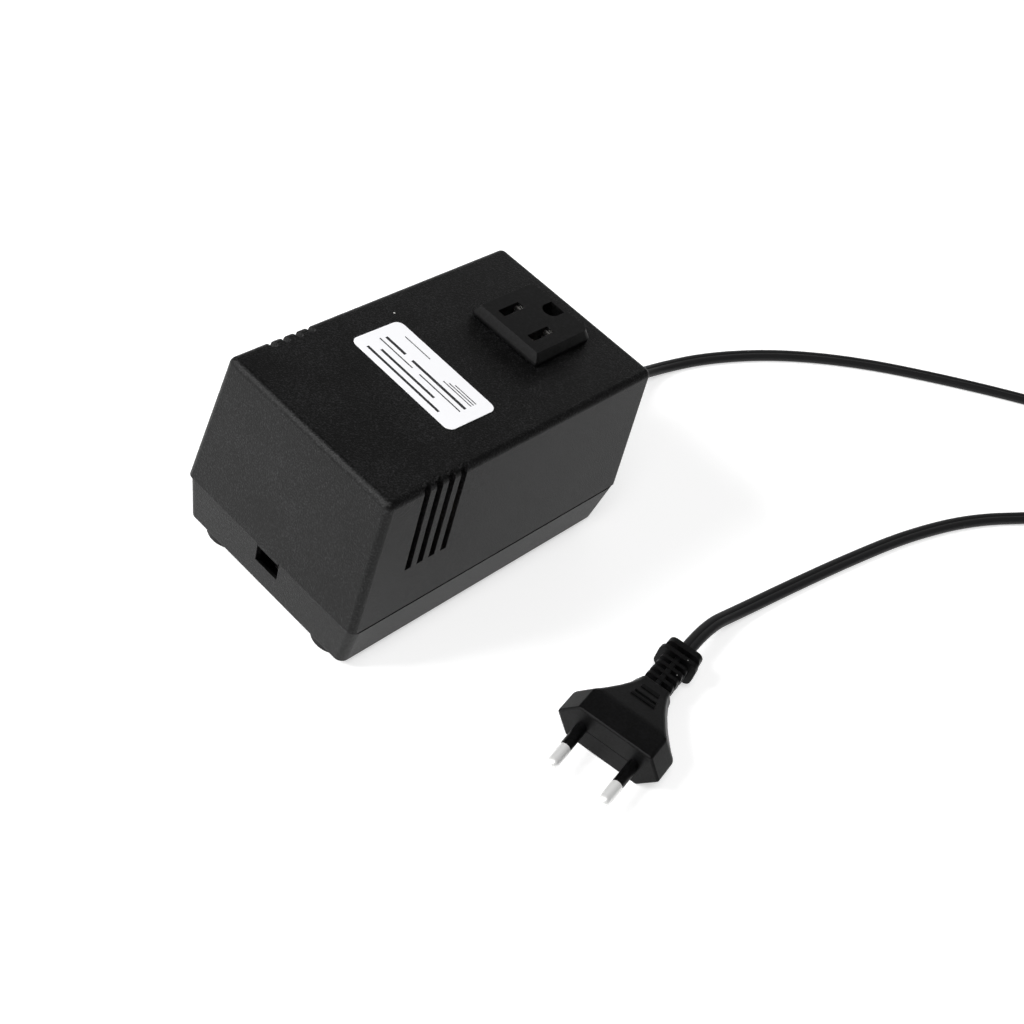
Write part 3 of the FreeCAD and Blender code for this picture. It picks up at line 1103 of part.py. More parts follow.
def make_plug():
    """The flat plug: bevelled block, sloping neck, ribbed relief, pins and sleeves."""
    half, deep, slope = "plug_width / 2", "plug_block", "plug_block + plug_slope"
    neck, high, low = "plug_neck", "plug_height / 2", "neck_height / 2"
    plan = sketch("plug_plan")
    outline(plan, [("0", f"-({half})"), ("0", half), (f"-({deep})", half), ("-17", "13.2"),
                   (f"-({neck})", "13.2"), (f"-({neck})", "-13.2"), ("-17", "-13.2"), (f"-({deep})", f"-({half})")])
    plan_solid = extrusion("plug_plan_solid", plan, "2 * plug_height")
    bind(plan, {"Placement.Base.z": "-(plug_height)"})
    side = sketch("plug_side", facing="-Y")
    outline(side, [("0", f"-({high})"), ("0", high), (f"-({deep})", high), (f"-({slope})", low),
                   (f"-({neck})", low), (f"-({neck})", f"-({low})"), (f"-({slope})", f"-({low})"),
                   (f"-({deep})", f"-({high})")])
    bind(side, {"Placement.Base.y": "plug_width"})
    side_solid = extrusion("plug_side_solid", side, "2 * plug_width")
    face = sketch("plug_face", facing="X")
    flat = "plug_flat / 2"
    outline(face, [(f"-({half})", "0"), (f"-({flat})", f"-({high})"), (flat, f"-({high})"), (half, "0"),
                   (flat, high), (f"-({flat})", high)])
    bind(face, {"Placement.Base.x": "-(2 * plug_neck)"})
    face_solid = extrusion("plug_face_solid", face, "3 * plug_neck")
    scoops = []
    for mark, sign in SIDES:
        scoops.append(cylinder(f"scoop_{mark}", "-47.7", f"{sign}51.7", "-(plug_height)", "49.2",
                               "2 * plug_height"))
    block_solid = cut("plug_block_solid", common("plug_hull", plan_solid, side_solid, face_solid),
                      fuse("scoops", *scoops))
    parts = [block_solid]
    for mark, behind, length in (("a", "18.2", "8.5"), ("b", "23.8", "6.3")):
        rise = (f"plug_height - (({behind}) - plug_block) * (plug_height - neck_height) / plug_slope"
                " + 2 * grip_rise")
        parts.append(block(f"grip_{mark}", f"-({behind})", "0", f"-({rise}) / 2", "grip_bar", length, rise))
    parts.append(ring("relief_core", "plug_neck - 4", f"{RELIEF_END} - plug_neck + 3", "relief_core_width",
                      "relief_core_height", "1.6"))
    parts.append(ring("relief_spine", "plug_neck - 1", f"{RING_START} - plug_neck + 2", "relief_spine",
                      "neck_height - 0.2", "0.4"))
    for index in range(int(value("relief_fins"))):
        parts.append(ring(f"fin_{index}", f"plug_neck + relief_pitch * {index} + relief_slot",
                          "relief_pitch - relief_slot", "neck_width", "neck_height", "1.4"))
    parts.append(ring("collar", RING_START, "collar_length", "collar_width", "collar_height", "collar_round"))
    parts.append(ring("collar_end", f"{RING_START} + collar_length + collar_gap", "collar_end_length",
                      "collar_end_width", "collar_height", "collar_round"))
    holes = pin_rods("root_hole", "pin_shank_radius + seat_gap", "pin_root + seat_gap", "1")
    holes += pin_rods("sleeve_hole", "sleeve_radius + seat_gap", "sleeve_root + seat_gap", "1")
    body = cut("plug", fuse("plug_solid", *parts), fuse("plug_holes", *holes))
    node(place_plug(body), "plug_body")
    sleeved = "pin_length - pin_bare"
    shanks = pin_rods("shank", "pin_shank_radius", "pin_root", f"{sleeved} + 1")
    tips = pin_rods("bare", "pin_radius", f"-({sleeved})", "pin_length - pin_radius", ball=True)
    pins = [fuse(f"pin_{mark}", shank, tip) for (mark, sign), shank, tip in zip(SIDES, shanks, tips)]
    node(place_plug(group("pins", pins)), "plug_pins")
    outers = pin_rods("sleeve", "sleeve_radius", "sleeve_root", f"{sleeved} - seat_gap")
    bores = pin_rods("sleeve_bore", "pin_shank_radius + seat_gap", "2 * sleeve_root", sleeved + " + 1")
    sleeves = [cut(f"sleeve_piece_{mark}", outer, bore)
               for (mark, sign), outer, bore in zip(SIDES, outers, bores)]
    node(place_plug(group("sleeves", sleeves)), "pin_sleeves")


def check():
    """Stops on any object in error or any sub-part that isn't a sound solid."""
    doc.recompute()
    bad = [item.Name for item in doc.Objects if {"Invalid", "Error"} & set(item.State)]
    for item in nodes:
        shape = item.Shape
        if shape.isNull() or not shape.isValid() or not shape.Solids or shape.Volume <= 0:
            bad.append(item.Label)
    if bad:
        raise RuntimeError("not sound: " + ", ".join(bad))


def main():
    """Builds every sub-part, checks it and writes it out."""
    make_cover()
    make_base()
    make_feet()
    make_case_screws()
    make_label()
    make_outlet()
    make_outlet_cap()
    make_contacts()
    make_core()
    make_core_bolts()
    make_bobbin()
    make_windings()
    make_pad()
    make_grommet()
    make_clamp()
    make_plug()
    doc.recompute()
    make_lead(make_coil())
    make_wires()
    check()
    os.makedirs("parts", exist_ok=True)
    for item in nodes:
        item.Shape.exportStep(f"parts/{item.Label}.step")
        solids = len(item.Shape.Solids)
        print(f"{item.Label}: {solids} solid, {item.Shape.Volume:.0f} mm3")
    print(len(nodes), "sub-parts")


main()
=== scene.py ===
"""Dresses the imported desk-top autotransformer: case, outlet, label, lead and plug.

Shapes are built in millimetres in the row frame and turned into metres as each
piece is finished. +X runs to the end where the lead leaves, +Z is up, and the
feet, the lead and the plug stand on z = 0.
"""
import json
import logging
import math
from dataclasses import dataclass, field, replace
from enum import Enum
from typing import Iterable, Sequence

import bmesh
import bpy
from mathutils import Matrix, Vector


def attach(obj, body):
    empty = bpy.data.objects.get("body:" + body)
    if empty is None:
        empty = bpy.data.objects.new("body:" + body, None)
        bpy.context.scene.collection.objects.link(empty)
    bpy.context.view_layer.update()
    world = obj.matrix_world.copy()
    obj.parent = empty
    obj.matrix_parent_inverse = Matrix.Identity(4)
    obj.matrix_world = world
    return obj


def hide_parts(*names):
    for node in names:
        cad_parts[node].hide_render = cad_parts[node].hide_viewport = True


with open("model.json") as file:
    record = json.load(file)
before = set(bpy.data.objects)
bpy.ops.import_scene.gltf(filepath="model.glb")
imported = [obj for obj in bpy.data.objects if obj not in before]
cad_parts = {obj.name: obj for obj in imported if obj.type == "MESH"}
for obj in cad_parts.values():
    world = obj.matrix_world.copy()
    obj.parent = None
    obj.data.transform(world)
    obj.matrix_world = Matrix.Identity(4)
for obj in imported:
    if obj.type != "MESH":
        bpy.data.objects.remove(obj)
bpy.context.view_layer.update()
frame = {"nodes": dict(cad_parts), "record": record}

log = logging.getLogger("autotransformer")
MM = 0.001
Point = tuple[float, float, float]
Flat = tuple[float, float]

# How far a cutting tool reaches past what it cuts
HAIR = 0.01
# Softened edges and shading of the finished meshes
EDGE_STEPS = 2
NORMAL_WEIGHT = 60
SHADE_MARGIN = 6.0


class Join(Enum):
    """How a tool solid changes the solid it meets."""

    ADD = "UNION"
    TAKE = "DIFFERENCE"


class Axis(Enum):
    """The direction a prism, a spun solid or a stripe follows."""

    X = 0
    Y = 1
    Z = 2


class Stripe(Enum):
    """What runs in bands through a finish."""

    NONE = "none"
    SHEETS = "sheets"
    TURNS = "turns"


# Solids
class Solid:
    """A closed shape under construction, in millimetres."""

    def __init__(self) -> None:
        """Starts with nothing in it."""
        self.bm = bmesh.new()

    def block(self, low: Point, high: Point) -> list[bmesh.types.BMVert]:
        """Adds a box.

        Args:
            low: its lowest corner.
            high: its highest corner.

        Returns:
            The box's vertices.
        """
        verts = bmesh.ops.create_cube(self.bm, size=1.0)["verts"]
        size = Vector(high) - Vector(low)
        bmesh.ops.scale(self.bm, vec=size, verts=verts)
        bmesh.ops.translate(self.bm, vec=(Vector(low) + Vector(high)) / 2, verts=verts)
        return verts

    def tapered(self, low: Point, high: Point) -> list[bmesh.types.BMVert]:
        """Adds a block centred on the Z axis that tapers between two levels.

        Args:
            low: length, width and height of the lower level.
            high: length, width and height of the upper level.

        Returns:
            The block's vertices.
        """
        verts = self.block((-0.5, -0.5, low[2]), (0.5, 0.5, high[2]))
        middle = (low[2] + high[2]) / 2
        for level, size in ((-1, low), (1, high)):
            ring = [v for v in verts if (v.co.z - middle) * level > 0]
            bmesh.ops.scale(self.bm, vec=(size[0], size[1], 1), verts=ring)
        return verts

    def prism(self, outline: Sequence[Flat], axis: Axis, low: float, high: float) -> None:
        """Adds a prism on a convex or concave outline.

        Args:
            outline: corners in the two other axes, in X, Y, Z order.
            axis: the direction it is drawn out along.
            low: where it starts.
            high: where it ends.
        """
        verts = []
        for first, second in outline:
            place = [first, second]
            place.insert(axis.value, low)
            verts.append(self.bm.verts.new(place))
        face = self.bm.faces.new(verts)
        grown = bmesh.ops.extrude_face_region(self.bm, geom=[face])["geom"]
        shift = Vector((0, 0, 0))
        shift[axis.value] = high - low
        moved = [item for item in grown if isinstance(item, bmesh.types.BMVert)]
        bmesh.ops.translate(self.bm, vec=shift, verts=moved)
        bmesh.ops.recalc_face_normals(self.bm, faces=self.bm.faces)

    def rod(self, centre: Point, radius: float, length: float, steps: int) -> None:
        """Adds an upright round rod.

        Args:
            centre: its middle.
            radius: its radius.
            length: its length.
            steps: facets round it.
        """
        bmesh.ops.create_cone(self.bm, cap_ends=True, segments=steps, radius1=radius, radius2=radius,
                              depth=length, matrix=Matrix.Translation(centre))

    def spun(self, profile: Sequence[Flat], centre: Point, axis: Axis, steps: int = 64) -> None:
        """Adds a round solid from half its section.

        Args:
            profile: pairs of distance along the axis and radius, from end to end.
            centre: where the axis starts.
            axis: the axis it is spun about.
            steps: facets round it.
        """
        along = Vector((0, 0, 0))
        along[axis.value] = 1
        out = Vector((0, 0, 0))
        out[(axis.value + 1) % 3] = 1
        start = Vector(centre)
        verts = [self.bm.verts.new(start + along * place + out * radius) for place, radius in profile]
        edges = [self.bm.edges.new(pair) for pair in zip(verts, verts[1:])]
        bmesh.ops.spin(self.bm, geom=verts + edges, cent=centre, axis=along, dvec=(0, 0, 0),
                       angle=2 * math.pi, steps=steps, use_merge=True, use_duplicate=False)
        bmesh.ops.remove_doubles(self.bm, verts=self.bm.verts, dist=1e-4)
        bmesh.ops.recalc_face_normals(self.bm, faces=self.bm.faces)

    def lofted(self, rings: Sequence[Sequence[Point]]) -> None:
        """Adds a solid through rings of points, closed at both ends.

        Args:
            rings: the rings, each with the same number of points.
        """
        loops = []
        for ring in rings:
            verts = [self.bm.verts.new(place) for place in ring]
            loops.append([self.bm.edges.new(pair) for pair in zip(verts, [*verts[1:], verts[0]])])
        for first, second in zip(loops, loops[1:]):
            bmesh.ops.bridge_loops(self.bm, edges=[*first, *second])
        for end in (loops[0], loops[-1]):
            bmesh.ops.edgeloop_fill(self.bm, edges=end)
        bmesh.ops.recalc_face_normals(self.bm, faces=self.bm.faces)

    def round(self, edges: Iterable[bmesh.types.BMEdge], radius: float, steps: int = 6) -> None:
        """Rounds edges.

        Args:
            edges: the edges to round.
            radius: the rounding.
            steps: facets over it.
        """
        bmesh.ops.bevel(self.bm, geom=list(edges), offset=radius, offset_type="OFFSET", segments=steps,
                        profile=0.5, affect="EDGES", material=-1)

    def upright(self) -> list[bmesh.types.BMEdge]:
        """The edges that run mostly upwards."""
        return [e for e in self.bm.edges if abs(e.verts[0].co.z - e.verts[1].co.z) > 0.9 * e.calc_length()]

    def level(self, height: float) -> list[bmesh.types.BMEdge]:
        """The edges that lie at a height."""
        return [e for e in self.bm.edges if all(abs(v.co.z - height) < 1e-3 for v in e.verts)]

    def along(self, axis: Axis) -> list[bmesh.types.BMEdge]:
        """The edges that run along an axis."""
        others = [index for index in range(3) if index != axis.value]
        return [e for e in self.bm.edges
                if all(abs(e.verts[0].co[index] - e.verts[1].co[index]) < 1e-3 for index in others)]

    def turned(self, matrix: Matrix) -> "Solid":
        """Moves all of it by a matrix."""
        bmesh.ops.transform(self.bm, matrix=matrix, verts=self.bm.verts)
        return self

    def gather(self, part: "Solid") -> None:
        """Takes in another solid without joining the two, and uses it up."""
        mesh = bpy.data.meshes.new("part")
        part.bm.to_mesh(mesh)
        part.bm.free()
        self.bm.from_mesh(mesh)
        bpy.data.meshes.remove(mesh)

    def object(self, name: str) -> bpy.types.Object:
        """Ends the construction and makes an object of it, still in millimetres."""
        mesh = bpy.data.meshes.new(name)
        self.bm.to_mesh(mesh)
        self.bm.free()
        made = bpy.data.objects.new(name, mesh)
        bpy.context.scene.collection.objects.link(made)
        return made


def evaluated(item: bpy.types.Object) -> bpy.types.Mesh:
    """The mesh of an object with its modifiers applied."""
    graph = bpy.context.evaluated_depsgraph_get()
    return bpy.data.meshes.new_from_object(item.evaluated_get(graph))


def combine(base: bpy.types.Object, tool: Solid, join: Join) -> None:
    """Adds a solid to an object, or takes it out of it.

    Args:
        base: the object that changes.
        tool: the solid it meets, used up here.
        join: what happens to what they share.
    """
    other = tool.object(base.name + "_tool")
    step = base.modifiers.new("join", "BOOLEAN")
    step.operation = join.value
    step.solver = "EXACT"
    step.use_self = join is Join.TAKE
    step.object = other
    mesh = evaluated(base)
    base.modifiers.clear()
    old = base.data
    base.data = mesh
    bpy.data.meshes.remove(old)
    bpy.data.objects.remove(other)


def finished(item: bpy.types.Object, edge: float = 0.0, sharp: float = 32.0) -> bpy.types.Object:
    """Softens an object's edges, shades it and turns it into metres.

    Args:
        item: the object, in millimetres.
        edge: the width of the softened edges, none for 0.
        sharp: the angle in degrees from which an edge counts as one.

    Returns:
        The same object.
    """
    if edge:
        bevel = item.modifiers.new("edges", "BEVEL")
        bevel.width = edge
        bevel.segments = EDGE_STEPS
        bevel.limit_method = "ANGLE"
        bevel.angle_limit = math.radians(sharp)
        bevel.harden_normals = False
        bevel.use_clamp_overlap = True
        item.data = evaluated(item)
        item.modifiers.clear()
    item.data.shade_smooth()
    item.data.set_sharp_from_angle(angle=math.radians(sharp + SHADE_MARGIN))
    weigh = item.modifiers.new("normals", "WEIGHTED_NORMAL")
    weigh.keep_sharp = True
    weigh.weight = NORMAL_WEIGHT
    item.data = evaluated(item)
    item.modifiers.clear()
    item.data.transform(Matrix.Scale(MM, 4))
    item.data.name = item.name
    return item


# Finishes
class Patterns:
    """The node groups that several finishes share."""

    def __init__(self) -> None:
        """Builds each group once."""
        self.grain = self._grain()
        self.tone = self._tone()
        self.dust = self._dust()
        self.bands = self._bands()

    @staticmethod
    def _group(name: str, inputs: dict[str, float], outputs: Sequence[str]) -> bpy.types.NodeTree:
        """Starts a group with number inputs and outputs."""
        group = bpy.data.node_groups.new(name, "ShaderNodeTree")
        for label, number in inputs.items():
            socket = group.interface.new_socket(label, in_out="INPUT", socket_type="NodeSocketFloat")
            socket.default_value = number
        for label in outputs:
            group.interface.new_socket(label, in_out="OUTPUT", socket_type="NodeSocketFloat")
        group.nodes.new("NodeGroupInput").name = "in"
        group.nodes.new("NodeGroupOutput").name = "out"
        group.nodes.new("ShaderNodeTexCoord").name = "place"
        return group

    @staticmethod
    def _noise(group: bpy.types.NodeTree, detail: float, rough: float = 0.5) -> bpy.types.Node:
        """A noise on object coordinates."""
        node = group.nodes.new("ShaderNodeTexNoise")
        node.inputs["Detail"].default_value = detail
        node.inputs["Roughness"].default_value = rough
        group.links.new(group.nodes["place"].outputs["Object"], node.inputs["Vector"])
        return node

    @staticmethod
    def _math(group: bpy.types.NodeTree, kind: str, *numbers: object) -> bpy.types.NodeSocket:
        """A sum on numbers or sockets."""
        node = group.nodes.new("ShaderNodeMath")
        node.operation = kind
        for index, number in enumerate(numbers):
            if isinstance(number, (int, float)):
                node.inputs[index].default_value = number
            else:
                group.links.new(number, node.inputs[index])
        return node.outputs[0]

    def _grain(self) -> bpy.types.NodeTree:
        """The pitted grain of a spark-eroded mould, as a height."""
        group = self._group("Spark grain", {"Scale": 3000.0, "Pits": 0.5}, ["Height"])
        fine = self._noise(group, 3.0, 0.62)
        group.links.new(group.nodes["in"].outputs["Scale"], fine.inputs["Scale"])
        cells = group.nodes.new("ShaderNodeTexVoronoi")
        cells.feature = "SMOOTH_F1"
        cells.inputs["Smoothness"].default_value = 0.7
        group.links.new(group.nodes["place"].outputs["Object"], cells.inputs["Vector"])
        group.links.new(group.nodes["in"].outputs["Scale"], cells.inputs["Scale"])
        pits = self._math(group, "MULTIPLY", cells.outputs["Distance"], group.nodes["in"].outputs["Pits"])
        height = self._math(group, "ADD", fine.outputs["Fac"], pits)
        group.links.new(height, group.nodes["out"].inputs["Height"])
        return group

    def _tone(self) -> bpy.types.NodeTree:
        """Slow changes of tone over a surface, from 0 to 1."""
        group = self._group("Tone", {"Scale": 40.0, "Contrast": 1.0}, ["Amount"])
        slow = self._noise(group, 4.0, 0.55)
        group.links.new(group.nodes["in"].outputs["Scale"], slow.inputs["Scale"])
        level = self._math(group, "SUBTRACT", slow.outputs["Fac"], 0.5)
        wide = self._math(group, "MULTIPLY", level, group.nodes["in"].outputs["Contrast"])
        amount = self._math(group, "ADD", wide, 0.5)
        group.links.new(amount, group.nodes["out"].inputs["Amount"])
        return group

    def _dust(self) -> bpy.types.NodeTree:
        """Small scattered specks of dust, as a mask."""
        group = self._group("Dust specks", {"Scale": 900.0, "Amount": 0.1}, ["Mask"])
        cells = group.nodes.new("ShaderNodeTexVoronoi")
        group.links.new(group.nodes["place"].outputs["Object"], cells.inputs["Vector"])
        group.links.new(group.nodes["in"].outputs["Scale"], cells.inputs["Scale"])
        near = self._math(group, "LESS_THAN", cells.outputs["Distance"], 0.16)
        parts = group.nodes.new("ShaderNodeSeparateColor")
        group.links.new(cells.outputs["Color"], parts.inputs["Color"])
        few = self._math(group, "LESS_THAN", parts.outputs["Red"], group.nodes["in"].outputs["Amount"])
        mask = self._math(group, "MULTIPLY", near, few)
        group.links.new(mask, group.nodes["out"].inputs["Mask"])
        return group

    def _bands(self) -> bpy.types.NodeTree:
        """Even bands along one axis, from 0 to 1."""
        inputs = {"Along X": 0.0, "Along Y": 0.0, "Along Z": 1.0, "Pitch": 0.0005}
        group = self._group("Bands", inputs, ["Wave"])
        parts = group.nodes.new("ShaderNodeSeparateXYZ")
        group.links.new(group.nodes["place"].outputs["Object"], parts.inputs[0])
        total = None
        for letter in "XYZ":
            weight = group.nodes["in"].outputs[f"Along {letter}"]
            share = self._math(group, "MULTIPLY", parts.outputs[letter], weight)
            total = share if total is None else self._math(group, "ADD", total, share)
        turns = self._math(group, "DIVIDE", total, group.nodes["in"].outputs["Pitch"])
        phase = self._math(group, "MULTIPLY", turns, 2 * math.pi)
        wave = self._math(group, "SINE", phase)
        half = self._math(group, "MULTIPLY_ADD", wave, 0.5, 0.5)
        group.links.new(half, group.nodes["out"].inputs["Wave"])
        return group


# The grain's middle height, the colour of dust and the strength of the bands' bump
GRAIN_MIDDLE = 0.88
DUST_COLOUR = (0.62, 0.62, 0.6, 1)
RIDGE_STRENGTH = 0.8


@dataclass(frozen=True)
class Finish:
    """How one surface looks."""

    name: str
    colour: Point
    second: Point
    roughness: float
    roughness_span: float = 0.06
    metallic: float = 0.0
    specular: float = 0.18
    coat: float = 0.0
    sheen: float = 0.0
    tone_scale: float = 40.0
    tone_contrast: float = 1.0
    grain_scale: float = 3000.0
    grain_pits: float = 0.5
    grain_height: float = 0.00002
    grain_strength: float = 0.35
    speckle: float = 0.0
    dust: float = 0.0
    dust_scale: float = 900.0
    stripe: Stripe = Stripe.NONE
    stripe_axis: Axis = Axis.Z
    stripe_pitch: float = 0.0005
    stripe_depth: float = 0.0001

    def material(self, patterns: Patterns) -> bpy.types.Material:
        """Builds the finish's material.

        Args:
            patterns: the shared node groups.

        Returns:
            The material.
        """
        made = bpy.data.materials.new(self.name)
        made.use_nodes = True
        made.diffuse_color = (*self.colour, 1)
        tree = made.node_tree
        shader = tree.nodes["Principled BSDF"]
        shader.inputs["Metallic"].default_value = self.metallic
        shader.inputs["Specular IOR Level"].default_value = self.specular
        shader.inputs["Coat Weight"].default_value = self.coat
        shader.inputs["Sheen Weight"].default_value = self.sheen
        tone = self._use(tree, patterns.tone, {"Scale": self.tone_scale, "Contrast": self.tone_contrast})
        grain = self._use(tree, patterns.grain, {"Scale": self.grain_scale, "Pits": self.grain_pits})
        level = tree.nodes.new("ShaderNodeMath")
        level.operation = "SUBTRACT"
        level.inputs[1].default_value = GRAIN_MIDDLE
        tree.links.new(grain.outputs["Height"], level.inputs[0])
        mottle = tree.nodes.new("ShaderNodeMath")
        mottle.operation = "MULTIPLY_ADD"
        mottle.use_clamp = True
        mottle.inputs[1].default_value = self.speckle
        tree.links.new(level.outputs[0], mottle.inputs[0])
        tree.links.new(tone.outputs["Amount"], mottle.inputs[2])
        colour = tree.nodes.new("ShaderNodeMix")
        colour.data_type = "RGBA"
        colour.inputs["A"].default_value = (*self.colour, 1)
        colour.inputs["B"].default_value = (*self.second, 1)
        tree.links.new(mottle.outputs[0], colour.inputs["Factor"])
        shade = colour.outputs["Result"]
        if self.dust:
            shade = self._dusted(tree, patterns, shade)
        tree.links.new(shade, shader.inputs["Base Color"])
        span = tree.nodes.new("ShaderNodeMapRange")
        span.inputs["To Min"].default_value = self.roughness - self.roughness_span
        span.inputs["To Max"].default_value = self.roughness + self.roughness_span
        tree.links.new(tone.outputs["Amount"], span.inputs["Value"])
        tree.links.new(span.outputs["Result"], shader.inputs["Roughness"])
        tree.links.new(self._relief(tree, patterns, grain), shader.inputs["Normal"])
        return made

    @staticmethod
    def _use(tree: bpy.types.NodeTree, group: bpy.types.NodeTree,
             numbers: dict[str, float]) -> bpy.types.Node:
        """Places a shared group with its own values."""
        node = tree.nodes.new("ShaderNodeGroup")
        node.node_tree = group
        for label, number in numbers.items():
            node.inputs[label].default_value = number
        return node

    def _dusted(self, tree: bpy.types.NodeTree, patterns: Patterns,
                shade: bpy.types.NodeSocket) -> bpy.types.NodeSocket:
        """The colour with specks of dust over it."""
        specks = self._use(tree, patterns.dust, {"Scale": self.dust_scale, "Amount": self.dust})
        mixed = tree.nodes.new("ShaderNodeMix")
        mixed.data_type = "RGBA"
        mixed.inputs["B"].default_value = DUST_COLOUR
        tree.links.new(shade, mixed.inputs["A"])
        tree.links.new(specks.outputs["Mask"], mixed.inputs["Factor"])
        return mixed.outputs["Result"]

    def _relief(self, tree: bpy.types.NodeTree, patterns: Patterns,
                grain: bpy.types.Node) -> bpy.types.NodeSocket:
        """The normal of the grain and, where there are any, the bands."""
        bump = tree.nodes.new("ShaderNodeBump")
        bump.inputs["Strength"].default_value = self.grain_strength
        bump.inputs["Distance"].default_value = self.grain_height
        tree.links.new(grain.outputs["Height"], bump.inputs["Height"])
        if self.stripe is Stripe.NONE:
            return bump.outputs["Normal"]
        numbers = {f"Along {axis.name}": float(axis is self.stripe_axis) for axis in Axis}
        bands = self._use(tree, patterns.bands, {**numbers, "Pitch": self.stripe_pitch})
        ridge = tree.nodes.new("ShaderNodeBump")
        ridge.inputs["Strength"].default_value = RIDGE_STRENGTH
        ridge.inputs["Distance"].default_value = self.stripe_depth
        tree.links.new(bands.outputs["Wave"], ridge.inputs["Height"])
        tree.links.new(bump.outputs["Normal"], ridge.inputs["Normal"])
        return ridge.outputs["Normal"]


CASE_PLASTIC = Finish("case plastic", (0.0001, 0.0001, 0.0001), (0.019, 0.0191, 0.0198), 0.46, 0.04,
                      grain_scale=2200, grain_height=0.0001, grain_strength=1.0, speckle=3.2,
                      tone_scale=60, dust=0.0012, dust_scale=520)
FINISHES = {
    "case": CASE_PLASTIC,
    "base": replace(CASE_PLASTIC, name="base plastic", dust=0.005),
    "outlet": Finish("outlet plastic", (0.0002, 0.0002, 0.0002), (0.005, 0.005, 0.0054), 0.46, 0.05,
                     speckle=2.2, grain_scale=1100, grain_height=0.00003, grain_strength=0.4,
                     tone_scale=60, dust=0.003),
    "label": Finish("label film", (0.95, 0.95, 0.97), (0.9, 0.9, 0.92), 0.42, 0.05, grain_scale=1500,
                    grain_height=0.00001, grain_strength=0.15, tone_scale=70, tone_contrast=0.6),
    "ink": Finish("label ink", (0.02, 0.02, 0.022), (0.04, 0.04, 0.042), 0.5, 0.05, grain_scale=4000,
                  grain_strength=0.1, tone_scale=300),
    "rubber": Finish("foot rubber", (0.006, 0.006, 0.006), (0.011, 0.011, 0.0105), 0.7, 0.06, sheen=0.05,
                     grain_scale=1400, grain_height=0.00005, grain_strength=0.5, tone_scale=90, dust=0.01),
    "lead": Finish("lead sheath", (0.01, 0.01, 0.0104), (0.013, 0.013, 0.0135), 0.48, 0.05,
                   grain_scale=900, grain_height=0.00003, grain_strength=0.3, tone_scale=55),
    "tie": Finish("tie strap", (0.012, 0.012, 0.013), (0.02, 0.02, 0.021), 0.4, 0.05, grain_scale=900,
                  grain_height=0.00002, tone_scale=90),
    "plug": Finish("plug plastic", (0.0004, 0.0004, 0.0004), (0.005, 0.005, 0.0056), 0.42, 0.06,
                   specular=0.17, speckle=1.6, grain_scale=1300, grain_height=0.00004, grain_strength=0.5,
                   tone_scale=70, dust=0.004),
    "nickel": Finish("plated pin", (0.96, 0.96, 0.95), (0.92, 0.92, 0.91), 0.4, 0.05, metallic=0.45,
                     grain_scale=1200, grain_height=0.000004, grain_strength=0.15, tone_scale=160),
    "brass": Finish("contact strip", (0.86, 0.85, 0.82), (0.76, 0.75, 0.72), 0.32, 0.06, metallic=1,
                    grain_scale=2400, grain_height=0.000006, grain_strength=0.2, tone_scale=200),
    "zinc": Finish("plated steel", (0.6, 0.6, 0.61), (0.46, 0.46, 0.48), 0.34, 0.08, metallic=1,
                   grain_scale=2600, grain_height=0.00001, grain_strength=0.25, tone_scale=240),
    "core": Finish("laminations", (0.12, 0.12, 0.125), (0.2, 0.19, 0.185), 0.5, 0.1, metallic=0.85,
                   tone_scale=120, stripe=Stripe.SHEETS, stripe_axis=Axis.Y, stripe_pitch=0.0005,
                   stripe_depth=0.00008),
    "nylon": Finish("bobbin nylon", (0.03, 0.03, 0.032), (0.045, 0.045, 0.046), 0.45, 0.05, tone_scale=80),
    "copper": Finish("enamelled wire", (0.48, 0.17, 0.07), (0.6, 0.25, 0.1), 0.3, 0.08, metallic=0.9,
                     coat=0.6, tone_scale=300, stripe=Stripe.TURNS, stripe_pitch=0.00055,
                     stripe_depth=0.00018),
    "tape": Finish("winding tape", (0.62, 0.42, 0.08), (0.7, 0.5, 0.12), 0.3, 0.06, coat=0.3, tone_scale=90),
    "fuse": Finish("fuse coating", (0.66, 0.64, 0.58), (0.56, 0.55, 0.5), 0.4, 0.08, tone_scale=200),
    "brown": Finish("brown wire", (0.13, 0.05, 0.02), (0.17, 0.07, 0.03), 0.35, 0.05, tone_scale=160),
    "blue": Finish("blue wire", (0.02, 0.07, 0.3), (0.03, 0.1, 0.36), 0.35, 0.05, tone_scale=160),
    "black": Finish("black wire", (0.012, 0.012, 0.012), (0.02, 0.02, 0.02), 0.35, 0.05, tone_scale=160),
    "white": Finish("white wire", (0.76, 0.76, 0.74), (0.68, 0.68, 0.66), 0.35, 0.05, tone_scale=160),
}
NODE_FINISH = {
    "top_cover": "case", "base_tray": "base", "rubber_feet": "rubber", "housing_screws": "zinc",
    "rating_label": "label", "outlet_body": "outlet", "outlet_back_cap": "outlet", "line_contact": "brass",
    "neutral_contact": "brass", "ground_contact": "brass", "core_e_stack": "core", "core_i_stack": "core",
    "core_bolts": "zinc", "core_nuts": "zinc", "bobbin": "nylon", "solder_tags": "brass",
    "common_winding": "copper", "series_winding": "copper", "winding_tape": "tape", "clamp_pad": "rubber",
    "cord_grommet": "lead", "cord_clamp": "lead", "clamp_screws": "zinc", "plug_body": "plug",
    "plug_pins": "nickel", "pin_sleeves": "plug", "mains_cord_coil": "lead", "cord_inner_end": "lead",
    "mains_cord_exit": "lead", "mains_cord_plug_end": "lead", "output_live_wire": "black",
    "output_neutral_wire": "white", "input_live_wire": "brown", "input_neutral_wire": "blue",
    "thermal_fuse": "fuse",
}


